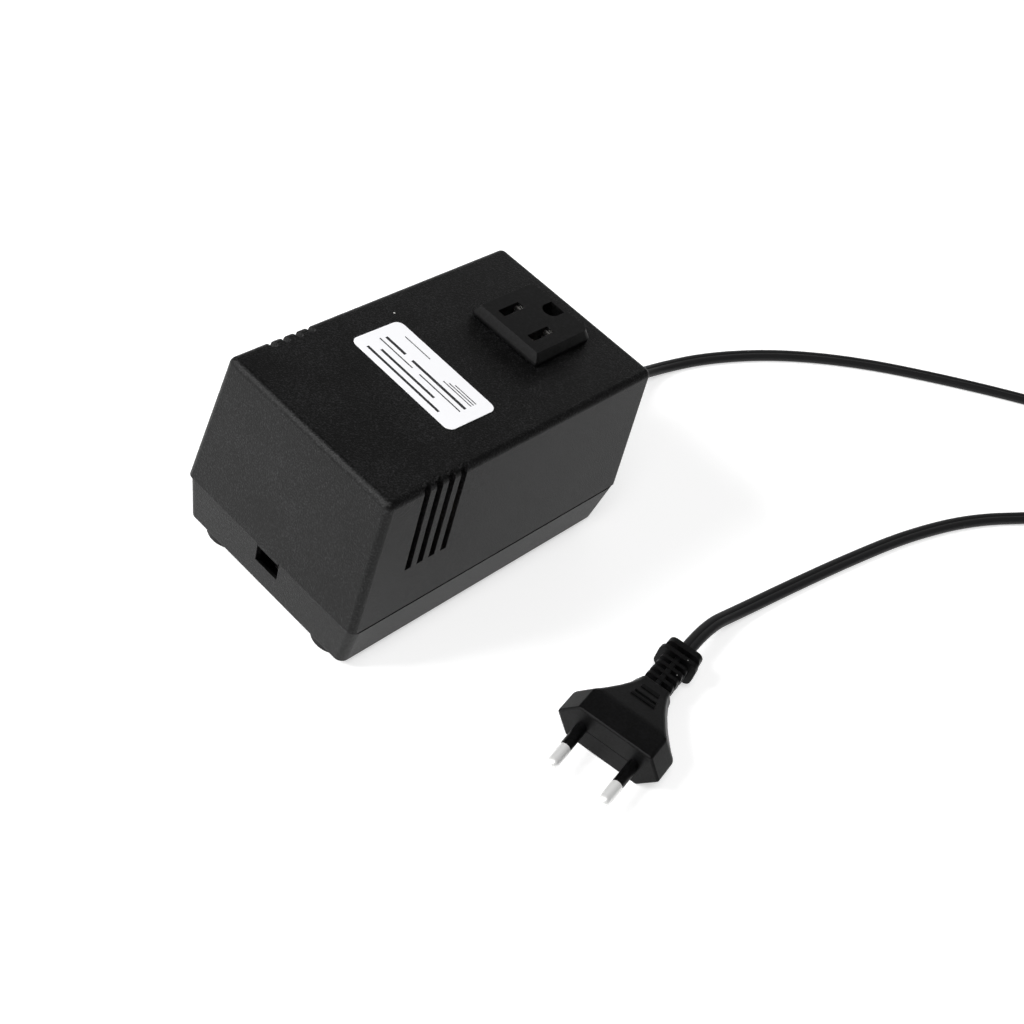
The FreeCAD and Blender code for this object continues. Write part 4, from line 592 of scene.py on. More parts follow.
class Dresser:
    """Gives finishes to pieces and hides the CAD nodes that each piece stands for."""

    def __init__(self) -> None:
        """Makes every material once."""
        patterns = Patterns()
        self.materials = {key: finish.material(patterns) for key, finish in FINISHES.items()}
        self.slots = {row["node"]: row["material_slot"] for row in frame["record"]["subparts"]}

    def dress(self, piece: bpy.types.Object, finish: str, *nodes: str) -> bpy.types.Object:
        """Finishes a new piece and puts it in the place of CAD nodes.

        Args:
            piece: the new object, in metres.
            finish: the name of its finish.
            nodes: the CAD nodes it stands for.

        Returns:
            The piece.
        """
        piece.data.materials.clear()
        piece.data.materials.append(self.materials[finish])
        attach(piece, "root")
        if nodes:
            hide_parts(*nodes)
        log.info("%s: %s", piece.name, finish)
        return piece

    def dress_nodes(self) -> None:
        """Finishes every CAD node."""
        for name, node in frame["nodes"].items():
            node.data.materials.clear()
            node.data.materials.append(self.materials[NODE_FINISH[name]])


# Case
# Each ruled line of the label: its place along the case, its start, its end and its width
LABEL_RULES = (
    (-7.0, -14.0, 17.0, 0.9), (-4.2, -9.0, 14.0, 0.9), (-1.2, -17.0, 0.5, 0.45), (-1.2, 3.5, 18.0, 0.45),
    (1.0, -17.0, 6.0, 1.0), (1.0, 9.0, 17.5, 1.0), (3.4, -17.0, -5.0, 0.35), (4.4, -17.0, -6.5, 0.35),
    (5.4, -17.0, -8.0, 0.35), (6.4, 4.0, 15.0, 0.35))


@dataclass
class Case:
    """The moulded cover and base, the feet and the label."""

    cover_foot: Point = (120.3, 74.2, 19.7)
    cover_top: Point = (114.5, 67.2, 68.0)
    cover_corner: float = 2.2
    cover_edge: float = 2.1
    wall: float = 2.2
    base_rim: Point = (118.9, 74.3, 19.2)
    base_floor: Point = (115.9, 69.8, 3.0)
    base_corner: float = 2.8
    base_edge: float = 0.8
    base_room: Point = (0.3, 0.4, 5.2)
    tongue: Flat = (17.5, 21.5)
    tongue_wall: float = 1.2
    tongue_corner: float = 0.4
    fit_gap: float = 0.2
    vent_places: tuple[float, ...] = (-42.4, -37.6, -32.8, -28.0)
    vent_width: float = 2.4
    vent_foot: float = 37.0
    vent_inner: Flat = (31.1, 30.2)
    vent_outer: float = 40.0
    vent_top: float = 72.0
    window: Flat = (24.2, 24.8)
    window_place: float = 35.3
    window_levels: Flat = (60.0, 70.0)
    notch: Point = (9.6, 12.3, 18.0)
    notch_ends: Flat = (55.0, 64.0)
    notch_top: float = 25.0
    notch_sill: float = 11.5
    sill_break: float = -58.6
    sill_foot: Flat = (-52.0, 6.5)
    tab_overlap: float = 0.4
    post: Flat = (49.6, 24.2)
    foot_radius: float = 7.5
    foot_height: float = 3.5
    foot_edge: float = 0.7
    foot_hollow: Point = (0.25, 3.0, 3.3)
    label_size: Flat = (19.7, 43.0)
    label_place: Point = (-11.4, 0.8, 68.0)
    label_turn: float = -1.1
    label_corner: float = 2.5
    label_thickness: float = 0.15
    label_edge: float = 0.05
    rule_levels: Flat = (-0.01, 0.02)
    soft_edge: float = 0.22

    def build(self, dresser: Dresser) -> None:
        """Builds and dresses every piece of the case."""
        dresser.dress(self.cover(), "case", "top_cover")
        dresser.dress(self.base(), "base", "base_tray")
        dresser.dress(self.feet(), "rubber", "rubber_feet")
        dresser.dress(self.label(), "label", "rating_label")
        ink = dresser.dress(self.label_rules(), "ink")

    def cover(self) -> bpy.types.Object:
        """The tapered cover with its vents, outlet window and end tabs."""
        shell = Solid()
        shell.tapered(self.cover_foot, self.cover_top)
        shell.round(shell.upright(), self.cover_corner, 8)
        shell.round(shell.level(self.cover_top[2]), self.cover_edge, 8)
        cover = shell.object("case_cover")
        rise = self.cover_top[2] - self.cover_foot[2]
        thick = 2 * self.wall
        sides = zip(self.cover_foot[:2], self.cover_top[:2])
        slope = [(low - high) / rise * self.wall for low, high in sides]
        room = Solid()
        room.tapered((self.cover_foot[0] - thick, self.cover_foot[1] - thick, self.cover_foot[2] - HAIR),
                     (self.cover_top[0] - thick + slope[0], self.cover_top[1] - thick + slope[1],
                      self.cover_top[2] - self.wall))
        combine(cover, room, Join.TAKE)
        combine(cover, self._vents(), Join.TAKE)
        window = Solid()
        half_x, half_y = self.window[0] / 2, self.window[1] / 2
        low, high = self.window_levels
        window.block((self.window_place - half_x, -half_y, low), (self.window_place + half_x, half_y, high))
        combine(cover, window, Join.TAKE)
        combine(cover, self._tabs(), Join.ADD)
        return finished(cover, self.soft_edge)

    def _vents(self) -> Solid:
        """The tools that cut the vents, one for each slot."""
        vents = Solid()
        for side, reach in zip((-1, 1), self.vent_inner):
            for place in self.vent_places:
                slot = Solid()
                ends = sorted((side * reach, side * self.vent_outer))
                slot.block((place - self.vent_width / 2, ends[0], self.vent_foot),
                           (place + self.vent_width / 2, ends[1], self.vent_top))
                inner = [e for e in slot.upright() if abs(e.verts[0].co.y) < reach + 1]
                slot.round(inner, self.vent_width / 2 - 2 * HAIR, 6)
                vents.gather(slot)
        return vents

    def _tabs(self) -> Solid:
        """The tabs that close the top of both cable notches."""
        tabs = Solid()
        half = self.notch[0] / 2 - self.fit_gap
        for side in (-1, 1):
            ends = sorted((side * (self.base_rim[0] / 2 - self.wall), side * self.base_rim[0] / 2))
            tabs.block((ends[0], -half, self.notch[2]),
                       (ends[1], half, self.cover_foot[2] + self.tab_overlap))
        return tabs

    def base(self) -> bpy.types.Object:
        """The base tray with its tongue and cable notches."""
        shell = Solid()
        shell.tapered(self.base_floor, self.base_rim)
        shell.round(shell.upright(), self.base_corner, 8)
        shell.round(shell.level(self.base_floor[2]), self.base_edge, 4)
        base = shell.object("case_base")
        room = Solid()
        thick = 2 * self.wall
        longer, wider, floor = self.base_room
        room.tapered((self.base_floor[0] - thick + longer, self.base_floor[1] - thick + wider, floor),
                     (self.base_rim[0] - thick, self.base_rim[1] - thick, self.base_rim[2] + HAIR))
        combine(base, room, Join.TAKE)
        outer = [size - thick - 2 * self.fit_gap for size in self.cover_foot[:2]]
        ring = Solid()
        ring.tapered((*outer, self.tongue[0]), (*outer, self.tongue[1]))
        ring.round(ring.upright(), self.tongue_corner, 3)
        combine(base, ring, Join.ADD)
        hole = Solid()
        inner = [size - 2 * self.tongue_wall for size in outer]
        hole.tapered((*inner, self.tongue[0] - 1), (*inner, self.tongue[1] + 1))
        combine(base, hole, Join.TAKE)
        inside, outside = self.notch_ends
        sill, top = self.notch[1], self.notch_top
        far = [(inside, sill), (outside, sill), (outside, top), (inside, top)]
        near = [(-outside, self.notch_sill), (self.sill_break, self.notch_sill), self.sill_foot,
                (self.sill_foot[0], top), (-outside, top)]
        for outline in (far, near):
            notch = Solid()
            notch.prism(outline, Axis.Y, -self.notch[0] / 2, self.notch[0] / 2)
            combine(base, notch, Join.TAKE)
        return finished(base, self.soft_edge)

    def feet(self) -> bpy.types.Object:
        """The four rubber feet."""
        feet = Solid()
        edge, radius = self.foot_edge, self.foot_radius
        deep, flat, mouth = self.foot_hollow
        turns = [step * math.pi / 12 for step in range(7)]
        curve = [(edge - edge * math.cos(turn), radius - edge + edge * math.sin(turn)) for turn in turns]
        profile = [(deep, 0.0), (deep, flat), (0.0, mouth), *curve,
                   (self.foot_height, radius), (self.foot_height, 0.0)]
        for along in (-1, 1):
            for across in (-1, 1):
                feet.spun(profile, (along * self.post[0], across * self.post[1], 0), Axis.Z)
        return finished(feet.object("case_feet"))

    def _label_matrix(self, rise: float) -> Matrix:
        """Where the label lies, raised by a height."""
        place = Vector(self.label_place) + Vector((0, 0, rise))
        return Matrix.Translation(place) @ Matrix.Rotation(math.radians(self.label_turn), 4, "Z")

    def label(self) -> bpy.types.Object:
        """The blank label."""
        half_x, half_y = self.label_size[0] / 2, self.label_size[1] / 2
        plate = Solid()
        plate.block((-half_x, -half_y, 0), (half_x, half_y, self.label_thickness))
        plate.round(plate.upright(), self.label_corner, 10)
        plate.turned(self._label_matrix(0))
        return finished(plate.object("case_label"), self.label_edge)

    def label_rules(self) -> bpy.types.Object:
        """A plain ruled form on the label: lines that say nothing."""
        rules = Solid()
        low, high = self.rule_levels
        for place, start, end, width in LABEL_RULES:
            rules.block((place - width / 2, start, low), (place + width / 2, end, high))
        rules.turned(self._label_matrix(self.label_thickness))
        return finished(rules.object("label_rules"))


# Outlet
@dataclass
class Outlet:
    """The raised outlet: two blade slots and a ground hole in a bevelled face."""

    place: float = 35.3
    foot: float = 68.4
    step: float = 69.85
    top: float = 72.4
    flange: Flat = (26.2, 27.7)
    face: Flat = (24.1, 24.6)
    far_corner: float = 2.6
    near_corner: float = 0.5
    trunk: Flat = (23.8, 24.4)
    depth: float = 52.0
    blade_line: float = 31.0
    blade_spacing: float = 12.7
    slot: Flat = (9.2, 2.9)
    ground_place: float = 42.9
    ground_radius: float = 2.9
    ground_flat: float = 46.0
    floor: float = 69.4
    chamber: Flat = (10.4, 3.9)
    ground_room: Flat = (6.2, 7.2)
    trunk_top: float = 69.0
    slot_top: float = 74.0
    hole_middle: float = 71.0
    hole_length: float = 6.0
    hole_steps: int = 40
    hole_stretch: float = 40.0
    overshoot: float = 1.0
    soft_edge: float = 0.16

    def build(self, dresser: Dresser) -> None:
        """Builds and dresses the outlet."""
        dresser.dress(self.body(), "outlet", "outlet_body")

    def body(self) -> bpy.types.Object:
        """The moulded outlet body."""
        flange = Solid()
        half_x, half_y = self.flange[0] / 2, self.flange[1] / 2
        flange.block((-half_x, -half_y, self.foot), (half_x, half_y, self.step))
        upright = flange.upright()
        far = [e for e in upright if e.verts[0].co.x > 0]
        near = [e for e in upright if e.verts[0].co.x < 0]
        flange.round(far, self.far_corner, 8)
        flange.round([e for e in near if e.is_valid], self.near_corner, 3)
        top = [f for f in flange.bm.faces if f.normal.z > 0.9]
        grown = bmesh.ops.extrude_face_region(flange.bm, geom=top)["geom"]
        verts = [item for item in grown if isinstance(item, bmesh.types.BMVert)]
        shrink = (self.face[0] / self.flange[0], self.face[1] / self.flange[1], 1)
        bmesh.ops.scale(flange.bm, vec=shrink, verts=verts)
        bmesh.ops.translate(flange.bm, vec=(0, 0, self.top - self.step), verts=verts)
        bmesh.ops.delete(flange.bm, geom=[f for f in top if f.is_valid], context="FACES_ONLY")
        bmesh.ops.recalc_face_normals(flange.bm, faces=flange.bm.faces)
        flange.turned(Matrix.Translation((self.place, 0, 0)))
        body = flange.object("outlet_shell")
        trunk = Solid()
        half_x, half_y = self.trunk[0] / 2, self.trunk[1] / 2
        trunk.block((self.place - half_x, -half_y, self.depth),
                    (self.place + half_x, half_y, self.trunk_top))
        combine(body, trunk, Join.ADD)
        for side in (-1, 1):
            middle = side * self.blade_spacing / 2
            for size, low, high in ((self.slot, self.floor - self.overshoot, self.slot_top),
                                    (self.chamber, self.depth - self.overshoot, self.floor)):
                room = Solid()
                room.block((self.blade_line - size[0] / 2, middle - size[1] / 2, low),
                           (self.blade_line + size[0] / 2, middle + size[1] / 2, high))
                combine(body, room, Join.TAKE)
        combine(body, self._ground_hole(), Join.TAKE)
        room = Solid()
        half_x, half_y = self.ground_room[0] / 2, self.ground_room[1] / 2
        room.block((self.ground_place - half_x, -half_y, self.depth - self.overshoot),
                   (self.ground_place + half_x, half_y, self.floor - self.overshoot))
        combine(body, room, Join.TAKE)
        return finished(body, self.soft_edge)

    def _ground_hole(self) -> Solid:
        """The tool for the ground hole: round, with one flat side."""
        hole = Solid()
        hole.rod((self.ground_place, 0, self.hole_middle), self.ground_radius, self.hole_length,
                 self.hole_steps)
        far = [v for v in hole.bm.verts if v.co.x > self.ground_place + HAIR]
        reach = self.ground_flat - self.ground_place
        for vert in far:
            vert.co.x = self.ground_place + min(reach, (vert.co.x - self.ground_place) * self.hole_stretch)
        bmesh.ops.remove_doubles(hole.bm, verts=hole.bm.verts, dist=1e-3)
        return hole


# Lead and plug
@dataclass
class Lead:
    """The flat two-core lead, from its grommet through its put-away coil to the plug."""

    width: float = 5.0
    thickness: float = 3.2
    relief_root: float = 59.45
    relief_blocks: tuple[tuple[float, float, float, float], ...] = (
        (-6.3, -4.8, 12.0, 8.1), (-5.2, 0.3, 9.1, 5.4))
    relief_edge: float = 0.12
    nose_tip: Flat = (4.7, 6.8)
    nose_foot: Flat = (5.2, 8.6)
    nose_corner: float = 1.5
    nose_edge: float = 0.6
    relief_slots: int = 4
    relief_pitch: float = 3.6
    slot_start: float = 4.0
    slot_width: float = 1.1
    slot_middle: float = 3.1
    slot_half: float = 1.6
    slot_reach: float = 5.0
    sheath_sharp: float = 50.0
    groove_width: float = 0.7
    groove_depth: float = 0.28
    rest: float = 1.68
    coil_entry: Point = (308.9, -120.9, 0.0)
    coil_angle: float = 40.0
    coil_radius: float = 34.5
    coil_pitch: float = 5.6
    coil_rise: float = 3.9
    coil_steps: tuple[int, ...] = (0, 1, 2, 3, 4, 5, 6, 3, 2, 1)
    coil_climb: int = 5
    points_per_half: int = 6
    tie_angle: float = 100.0
    tie_reach: Flat = (-18.4, -0.8)
    tie_width: float = 5.0
    tie_top: float = 7.9
    tie_foot: float = 0.05
    tie_thickness: float = 0.5
    tie_room: float = 9.0
    tie_corners: Flat = (1.5, 1.2)
    tie_edge: float = 0.08
    tie_twists: int = 5
    twist_half: Point = (1.3, 1.1, 0.5)
    twist_corner: float = 0.45
    twist_step: float = 1.7
    twist_rise: float = 0.25
    twist_turn: float = 55.0
    leaving: tuple[Point, ...] = (
        (79.65, 0.0, 15.15), (94.0, 0.0, 15.15), (116.0, 3.0, 9.0), (143.0, 4.6, 1.68), (168.0, -1.5, 1.68),
        (198.15, -14.9, 1.68), (227.8, -35.3, 1.68), (255.6, -61.2, 1.68), (283.1, -90.2, 1.68))
    arriving: tuple[Point, ...] = (
        (244.1, -146.6, 5.4), (220.2, -130.8, 1.68), (193.1, -115.8, 1.68), (161.0, -105.9, 1.68),
        (128.0, -99.9, 1.68), (98.0, -95.4, 1.68), (70.0, -92.0, 2.6), (50.8, -91.1, 6.85),
        (37.0, -93.7, 6.85))

    def build(self, dresser: Dresser, carried: Sequence[bpy.types.Object]) -> None:
        """Args:
            dresser: gives the finishes.
            carried: the plug's pieces; not used.
        """
        dresser.dress(self.relief(), "lead", "cord_grommet")
        route = self._route()
        lead = self.sheath(route)
        dresser.dress(lead, "lead", "mains_cord_exit", "mains_cord_coil", "mains_cord_plug_end")
        tie = dresser.dress(self.tie(), "tie")

    def relief(self) -> bpy.types.Object:
        """The grommet: a flange inside, a neck in the notch and the tapered strain relief outside."""
        body = Solid()
        middle, root, tip = self.leaving[0][2], self.relief_root, self.leaving[0][0]
        for low, high, wide, tall in self.relief_blocks:
            body.block((root + low, -wide / 2, middle - tall / 2), (root + high, wide / 2, middle + tall / 2))
        grommet = body.object("lead_relief")
        nose = Solid()
        nose.tapered((*self.nose_tip, 0), (*self.nose_foot, tip - root))
        nose.round(nose.upright(), self.nose_corner, 6)
        nose.round(nose.level(0), self.nose_edge, 4)
        nose.turned(Matrix.Translation((tip, 0, middle)) @ Matrix.Rotation(-math.pi / 2, 4, "Y"))
        combine(grommet, nose, Join.ADD)
        for step in range(self.relief_slots):
            place = root + self.slot_start + step * self.relief_pitch
            for side in (-1, 1):
                across = side * self.slot_middle
                slot = Solid()
                slot.block((place, across - self.slot_half, middle - self.slot_reach),
                           (place + self.slot_width, across + self.slot_half, middle + self.slot_reach))
                combine(grommet, slot, Join.TAKE)
        return finished(grommet, self.relief_edge)

    def coil(self) -> list[Point]:
        """The middle line's points on the put-away turns, twelve to a turn."""
        start = math.radians(self.coil_angle)
        spoke = Vector((math.cos(start), math.sin(start), 0))
        centre = Vector(self.coil_entry) - spoke * self.coil_radius
        radii = [self.coil_radius - step * self.coil_pitch / 2 for step in self.coil_steps]
        outward = 1 / math.cos(math.pi / self.points_per_half / 2)
        points = []
        for half, (first, last) in enumerate(zip(radii, radii[1:])):
            for step in range(self.points_per_half):
                share = (step + 0.5) / self.points_per_half
                turn = start - math.pi * (half + share)
                radius = (first + (last - first) * share) * outward
                climb = 0.5 - 0.5 * math.cos(math.pi * share)
                lifted = climb if half == self.coil_climb else float(half > self.coil_climb)
                rise = self.coil_rise * lifted
                place = centre + Vector((math.cos(turn), math.sin(turn), 0)) * radius
                points.append((place.x, place.y, self.rest + rise))
        return points

    def _route(self) -> list[Vector]:
        """Points close together on the smooth line through the route, in metres."""
        points = [*self.leaving, *self.coil(), *self.arriving]
        curve = bpy.data.curves.new("lead_route", "CURVE")
        curve.dimensions = "3D"
        spline = curve.splines.new("NURBS")
        spline.points.add(len(points) - 1)
        for point, place in zip(spline.points, points):
            point.co = (*(value * MM for value in place), 1)
        spline.order_u = 3
        spline.use_endpoint_u = True
        curve.resolution_u = 10
        holder = bpy.data.objects.new("lead_route", curve)
        line = bpy.data.meshes.new_from_object(holder)
        route = [vert.co.copy() for vert in line.vertices]
        bpy.data.objects.remove(holder)
        bpy.data.curves.remove(curve)
        bpy.data.meshes.remove(line)
        return route

    def tie(self) -> bpy.types.Object:
        """The flat strap that holds the put-away turns together, with its twisted ends on top."""
        start = math.radians(self.coil_angle + self.tie_angle)
        spoke = math.radians(self.coil_angle)
        centre = Vector(self.coil_entry) - Vector((math.cos(spoke), math.sin(spoke), 0)) * self.coil_radius
        reach = [self.coil_radius + extra for extra in self.tie_reach]
        strap, room = Solid(), Solid()
        strap.block((reach[0], -self.tie_width / 2, 0.0), (reach[1], self.tie_width / 2, self.tie_top))
        strap.round(strap.along(Axis.Y), self.tie_corners[0], 6)
        room.block((reach[0] + self.tie_thickness, -self.tie_room, self.tie_foot),
                   (reach[1] - self.tie_thickness, self.tie_room, self.tie_top - self.tie_thickness))
        room.round(room.along(Axis.Y), self.tie_corners[1], 6)
        turn = Matrix.Translation((centre.x, centre.y, 0)) @ Matrix.Rotation(start, 4, "Z")
        band = strap.turned(turn).object("lead_tie")
        combine(band, room.turned(turn), Join.TAKE)
        for step in range(self.tie_twists):
            twist = Solid()
            twist.block(tuple(-half for half in self.twist_half), self.twist_half)
            twist.round(twist.along(Axis.X), self.twist_corner, 3)
            middle = (reach[0] + reach[1]) / 2 + (step - (self.tie_twists - 1) / 2) * self.twist_step
            twist.turned(turn @ Matrix.Translation((middle, 0, self.tie_top + self.twist_rise))
                         @ Matrix.Rotation(math.radians(self.twist_turn * step), 4, "X"))
            combine(band, twist, Join.ADD)
        return finished(band, self.tie_edge)

    def _section(self) -> list[Flat]:
        """Half of the sheath's section and its mirror: two round cores with a shallow groove between."""
        reach, radius, steps = (self.width - self.thickness) / 2, self.thickness / 2, 10
        side = [(reach + radius * math.cos(turn), radius * math.sin(turn))
                for turn in (math.pi * (step / steps - 0.5) for step in range(steps + 1))]
        half = self.groove_width / 2
        groove = [(half, radius), (0, radius - self.groove_depth), (-half, radius)]
        other = [(-x, -y) for x, y in side]
        return [*side, *groove, *other, *((-x, -y) for x, y in groove)]

    def sheath(self, route: Sequence[Vector]) -> bpy.types.Object:
        """The sheath: its flat section carried along the route, always level.

        Args:
            route: points close together on the lead's middle line, in metres.

        Returns:
            The sheath as a closed mesh.
        """
        section = self._section()
        rings = []
        for index, place in enumerate(route):
            ahead = route[min(index + 1, len(route) - 1)] - route[max(index - 1, 0)]
            side = Vector((0, 0, 1)).cross(ahead).normalized()
            rise = ahead.cross(side).normalized()
            rings.append([place + side * x * MM + rise * y * MM for x, y in section])
        tube = Solid()
        tube.lofted(rings)
        made = tube.object("mains_lead")
        made.data.shade_smooth()
        made.data.set_sharp_from_angle(angle=math.radians(self.sheath_sharp))
        return made


@dataclass
class Plug:
    """The flat two-pin plug that lies on the surface."""

    place: Point = (-13.7, -103.1, 6.85)
    turn: float = -169.5
    width: float = 36.4
    height: float = 13.7
    flat: float = 25.4
    block: float = 9.9
    slope: float = 18.1
    neck: float = 29.2
    neck_width: float = 9.6
    neck_height: float = 7.5
    pitch: float = 3.08
    gap: float = 1.65
    fins: int = 4
    pin_spacing: float = 18.6
    pin_lean: float = 0.9
    pin_length: float = 19.0
    pin_bare: float = 9.0
    pin_root: float = 12.0
    pin_radius: float = 2.0
    pin_chamfer: float = 0.1
    shank_radius: float = 1.5
    sleeve_radius: float = 1.9
    sleeve_root: float = 1.5
    sleeve_edge: float = 0.15
    play: float = 0.03
    hull_edge: float = 0.8
    hull_angle: float = 0.35
    parting: Flat = (0.15, 0.12)
    bar_rise: float = 0.4
    relief_core: Point = (5.2, 4.4, 1.6)
    spine: Point = (1.8, 0.2, 0.4)
    fin_corner: float = 1.4
    collar: tuple[Point, ...] = ((0.0, 1.7, 13.6), (3.8, 6.2, 12.2))
    collar_height: float = 8.8
    collar_corner: float = 2.2
    soft_edge: float = 0.25
    sharp: float = 30.0
    bars: tuple[Point, ...] = ((18.2, 8.5, 0.8), (20.4, 7.6, 0.5), (23.8, 6.3, 1.5))
    waist: tuple[Flat, ...] = (
        (12.4, 15.9), (15.5, 13.5), (19.0, 11.0), (22.9, 8.7), (26.0, 7.2), (29.2, 6.4))
    pieces: list[bpy.types.Object] = field(default_factory=list)

    def build(self, dresser: Dresser) -> None:
        """Builds and dresses the plug, its pins and their sleeves."""
        self.pieces = [dresser.dress(self.body(), "plug", "plug_body"),
                       dresser.dress(self.pins(), "nickel", "plug_pins"),
                       dresser.dress(self.sleeves(), "plug", "pin_sleeves")]

    def _matrix(self) -> Matrix:
        """Where the plug lies, from the middle of its face."""
        return Matrix.Translation(self.place) @ Matrix.Rotation(math.radians(self.turn), 4, "Z")

    def _pin_matrix(self, side: int) -> Matrix:
        """Where a pin stands on the face."""
        lean = Matrix.Rotation(math.radians(-side * self.pin_lean), 4, "Z")
        return self._matrix() @ Matrix.Translation((0, side * self.pin_spacing / 2, 0)) @ lean

    def body(self) -> bpy.types.Object:
        """The bevelled block, its hollow-sided slope, the ribbed relief and the collar."""
        high, low, deep = self.height / 2, self.neck_height / 2, self.block
        hull = Solid()
        hull.lofted([self._ring(0.0, self.width / 2), self._ring(deep, self.width / 2),
                     *(self._ring(behind, wide) for behind, wide in self.waist)])
        hull.round([e for e in hull.bm.edges if e.calc_face_angle(0) > self.hull_angle], self.hull_edge, 4)
        body = hull.object("plug_shell")
        line = Solid()
        sunk, half = self.parting
        line.block((-sunk, -self.pin_spacing / 2, -half), (1, self.pin_spacing / 2, half))
        combine(body, line, Join.TAKE)
        for behind, length, wide in self.bars:
            rise = high - (behind - deep) * (high - low) / self.slope + self.bar_rise
            bar = Solid()
            bar.block((-behind - wide / 2, -length / 2, -rise), (-behind + wide / 2, length / 2, rise))
            combine(body, bar, Join.ADD)
        for low_x, high_x, wide, tall, corner in self._relief():
            ring = Solid()
            ring.block((-high_x, -wide / 2, -tall / 2), (-low_x, wide / 2, tall / 2))
            ring.round(ring.along(Axis.X), corner, 5)
            combine(body, ring, Join.ADD)
        body.data.transform(self._matrix())
        return finished(body, self.soft_edge, self.sharp)

    def _ring(self, behind: float, wide: float) -> list[Point]:
        """The six corners of the hull's section, a distance behind the face."""
        high, low = self.height / 2, self.neck_height / 2
        rise = high - max(0.0, behind - self.block) * (high - low) / self.slope
        flat, rise = wide * self.flat / self.width, max(rise, low)
        half = [(wide, 0.0), (flat, rise), (-flat, rise)]
        return [(-behind, y, z) for y, z in [*half, *((-y, -z) for y, z in half)]]

    def _relief(self) -> list[tuple[float, float, float, float, float]]:
        """Start, end, width, height and corner of each piece behind the neck."""
        ring = self.neck + self.pitch * self.fins + self.gap
        wide, lower, corner = self.spine
        rows = [(self.neck - 4, ring + 6, *self.relief_core),
                (self.neck - 1, ring + 1, wide, self.neck_height - lower, corner)]
        for index in range(self.fins):
            start = self.neck + self.pitch * index + self.gap
            rows.append((start, start + self.pitch - self.gap, self.neck_width, self.neck_height,
                         self.fin_corner))
        for start, end, wide in self.collar:
            rows.append((ring + start, ring + end, wide, self.collar_height, self.collar_corner))
        return rows

    def pins(self) -> bpy.types.Object:
        """Both pins, with round tips."""
        pins = Solid()
        sleeved = self.pin_length - self.pin_bare
        tip = [(self.pin_length - self.pin_radius + self.pin_radius * math.sin(step * math.pi / 16),
                self.pin_radius * math.cos(step * math.pi / 16)) for step in range(9)]
        root, shank, chamfer = -self.pin_root, self.shank_radius, self.pin_chamfer
        profile = [(root, 0), (root, shank), (sleeved, shank), (sleeved, self.pin_radius - chamfer),
                   (sleeved + chamfer, self.pin_radius), *tip[:-1], (self.pin_length, 0)]
        for side in (-1, 1):
            pin = Solid()
            pin.spun(profile, (0, 0, 0), Axis.X, 48)
            pins.gather(pin.turned(self._pin_matrix(side)))
        return finished(pins.object("plug_pin_pair"))

    def sleeves(self) -> bpy.types.Object:
        """The insulating sleeves at the roots of the pins."""
        sleeves = Solid()
        sleeved = self.pin_length - self.pin_bare - self.play
        root, bore, edge = -self.sleeve_root, self.shank_radius + self.play, self.sleeve_edge
        profile = [(root, bore), (root, self.sleeve_radius), (sleeved - edge, self.sleeve_radius),
                   (sleeved, self.sleeve_radius - edge), (sleeved, bore), (root, bore)]
        for side in (-1, 1):
            sleeve = Solid()
            sleeve.spun(profile, (0, 0, 0), Axis.X, 48)
            sleeves.gather(sleeve.turned(self._pin_matrix(side)))
        return finished(sleeves.object("plug_pin_sleeves"))


# Studio
@dataclass(frozen=True)
class Softbox:
    """A large soft light that points at the object."""

    name: str
    place: Point
    target: Point
    size: Flat
    power: float

    def make(self) -> None:
        """Adds the light."""
        lamp = bpy.data.lights.new(self.name, "AREA")
        lamp.shape = "RECTANGLE"
        lamp.size, lamp.size_y = self.size
        lamp.energy = self.power
        made = bpy.data.objects.new(self.name, lamp)
        made.location = self.place
        aim = Vector(self.target) - Vector(self.place)
        made.rotation_euler = aim.to_track_quat("-Z", "Y").to_euler()
        bpy.context.scene.collection.objects.link(made)


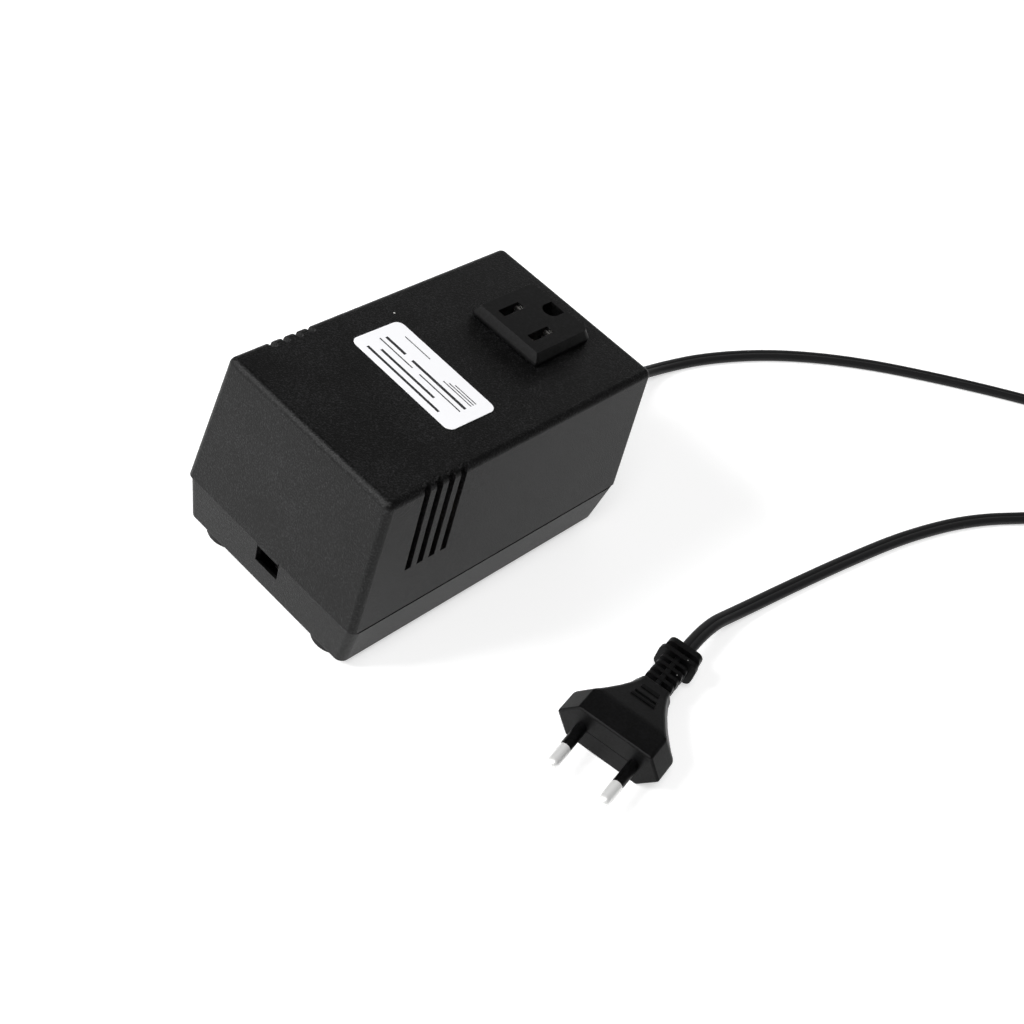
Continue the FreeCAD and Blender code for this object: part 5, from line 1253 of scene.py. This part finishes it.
@dataclass
class Studio:
    """The pale floor, the soft lights and the camera of the photograph."""

    azimuth: float = -62.05
    elevation: float = 42.57
    roll: float = 22.52
    camera_place: Point = (-0.31313, -0.2033, 0.36419)
    lens: float = 56.813
    floor_size: float = 40.0
    sky: float = 0.16
    wall: float = 0.8
    floor_glow: float = 0.55
    boxes: tuple[Softbox, ...] = (
        Softbox("left softbox", (-0.95, 0.53, 0.84), (0.0, 0.0, 0.05), (0.42, 0.42), 16.0),
        Softbox("low left softbox", (-1.25, 0.5, 0.16), (0.0, 0.0, 0.05), (0.5, 0.26), 2.4),
        Softbox("camera softbox", (-0.45, -0.29, 1.15), (0.05, 0.0, 0.03), (0.6, 0.6), 6.0),
        Softbox("far softbox", (1.25, 0.72, 0.52), (0.0, 0.0, 0.05), (1.3, 0.4), 2.0))

    def build(self) -> None:
        """Sets up everything that isn't the object."""
        self._floor()
        self._camera()
        for box in self.boxes:
            box.make()
        self._surroundings()
        bpy.context.scene.view_settings.view_transform = "Standard"

    def _surroundings(self) -> None:
        """The dim room that the object reflects, with a pale wall where it is seen directly."""
        world = bpy.data.worlds.new("studio")
        world.use_nodes = True
        tree = world.node_tree
        room = tree.nodes["Background"]
        room.inputs["Color"].default_value = (1, 1, 1, 1)
        room.inputs["Strength"].default_value = self.sky
        wall = tree.nodes.new("ShaderNodeBackground")
        wall.inputs["Color"].default_value = (1, 1, 1, 1)
        wall.inputs["Strength"].default_value = self.wall
        seen = tree.nodes.new("ShaderNodeLightPath")
        either = tree.nodes.new("ShaderNodeMixShader")
        tree.links.new(seen.outputs["Is Camera Ray"], either.inputs["Fac"])
        tree.links.new(room.outputs["Background"], either.inputs[1])
        tree.links.new(wall.outputs["Background"], either.inputs[2])
        tree.links.new(either.outputs["Shader"], tree.nodes["World Output"].inputs["Surface"])
        bpy.context.scene.world = world

    def _floor(self) -> None:
        """The pale floor."""
        sheet = bmesh.new()
        bmesh.ops.create_grid(sheet, x_segments=1, y_segments=1, size=self.floor_size / 2)
        mesh = bpy.data.meshes.new("studio_floor")
        sheet.to_mesh(mesh)
        sheet.free()
        floor = bpy.data.objects.new("studio_floor", mesh)
        bpy.context.scene.collection.objects.link(floor)
        paper = bpy.data.materials.new("pale floor")
        paper.use_nodes = True
        shader = paper.node_tree.nodes["Principled BSDF"]
        shader.inputs["Base Color"].default_value = (0.8, 0.8, 0.8, 1)
        shader.inputs["Emission Color"].default_value = (1, 1, 1, 1)
        shader.inputs["Emission Strength"].default_value = self.floor_glow
        shader.inputs["Roughness"].default_value = 0.9
        shader.inputs["Specular IOR Level"].default_value = 0.1
        mesh.materials.append(paper)

    def _camera(self) -> None:
        """The camera at the photograph's place."""
        turn, lift, roll = (math.radians(value) for value in (self.azimuth, self.elevation, self.roll))
        back = Vector((math.sin(turn) * math.cos(lift), -math.cos(turn) * math.cos(lift), math.sin(lift)))
        level = Vector((math.cos(turn), math.sin(turn), 0))
        rise = back.cross(level)
        right = math.cos(roll) * level + math.sin(roll) * rise
        up = -math.sin(roll) * level + math.cos(roll) * rise
        data = bpy.data.cameras.new("camera")
        data.sensor_width = 36.0
        data.lens = self.lens
        data.clip_start = 0.01
        made = bpy.data.objects.new("camera", data)
        facing = Matrix((right, up, back)).transposed().to_4x4()
        made.matrix_world = Matrix.Translation(self.camera_place) @ facing
        bpy.context.scene.collection.objects.link(made)
        bpy.context.scene.camera = made


def main() -> None:
    """Builds and dresses the whole part."""
    logging.basicConfig(level=logging.INFO, format="%(name)s %(message)s")
    Studio().build()
    dresser = Dresser()
    dresser.dress_nodes()
    plug = Plug()
    plug.build(dresser)
    Lead().build(dresser, plug.pieces)
    Case().build(dresser)
    Outlet().build(dresser)


if __name__ == "__main__":
    main()
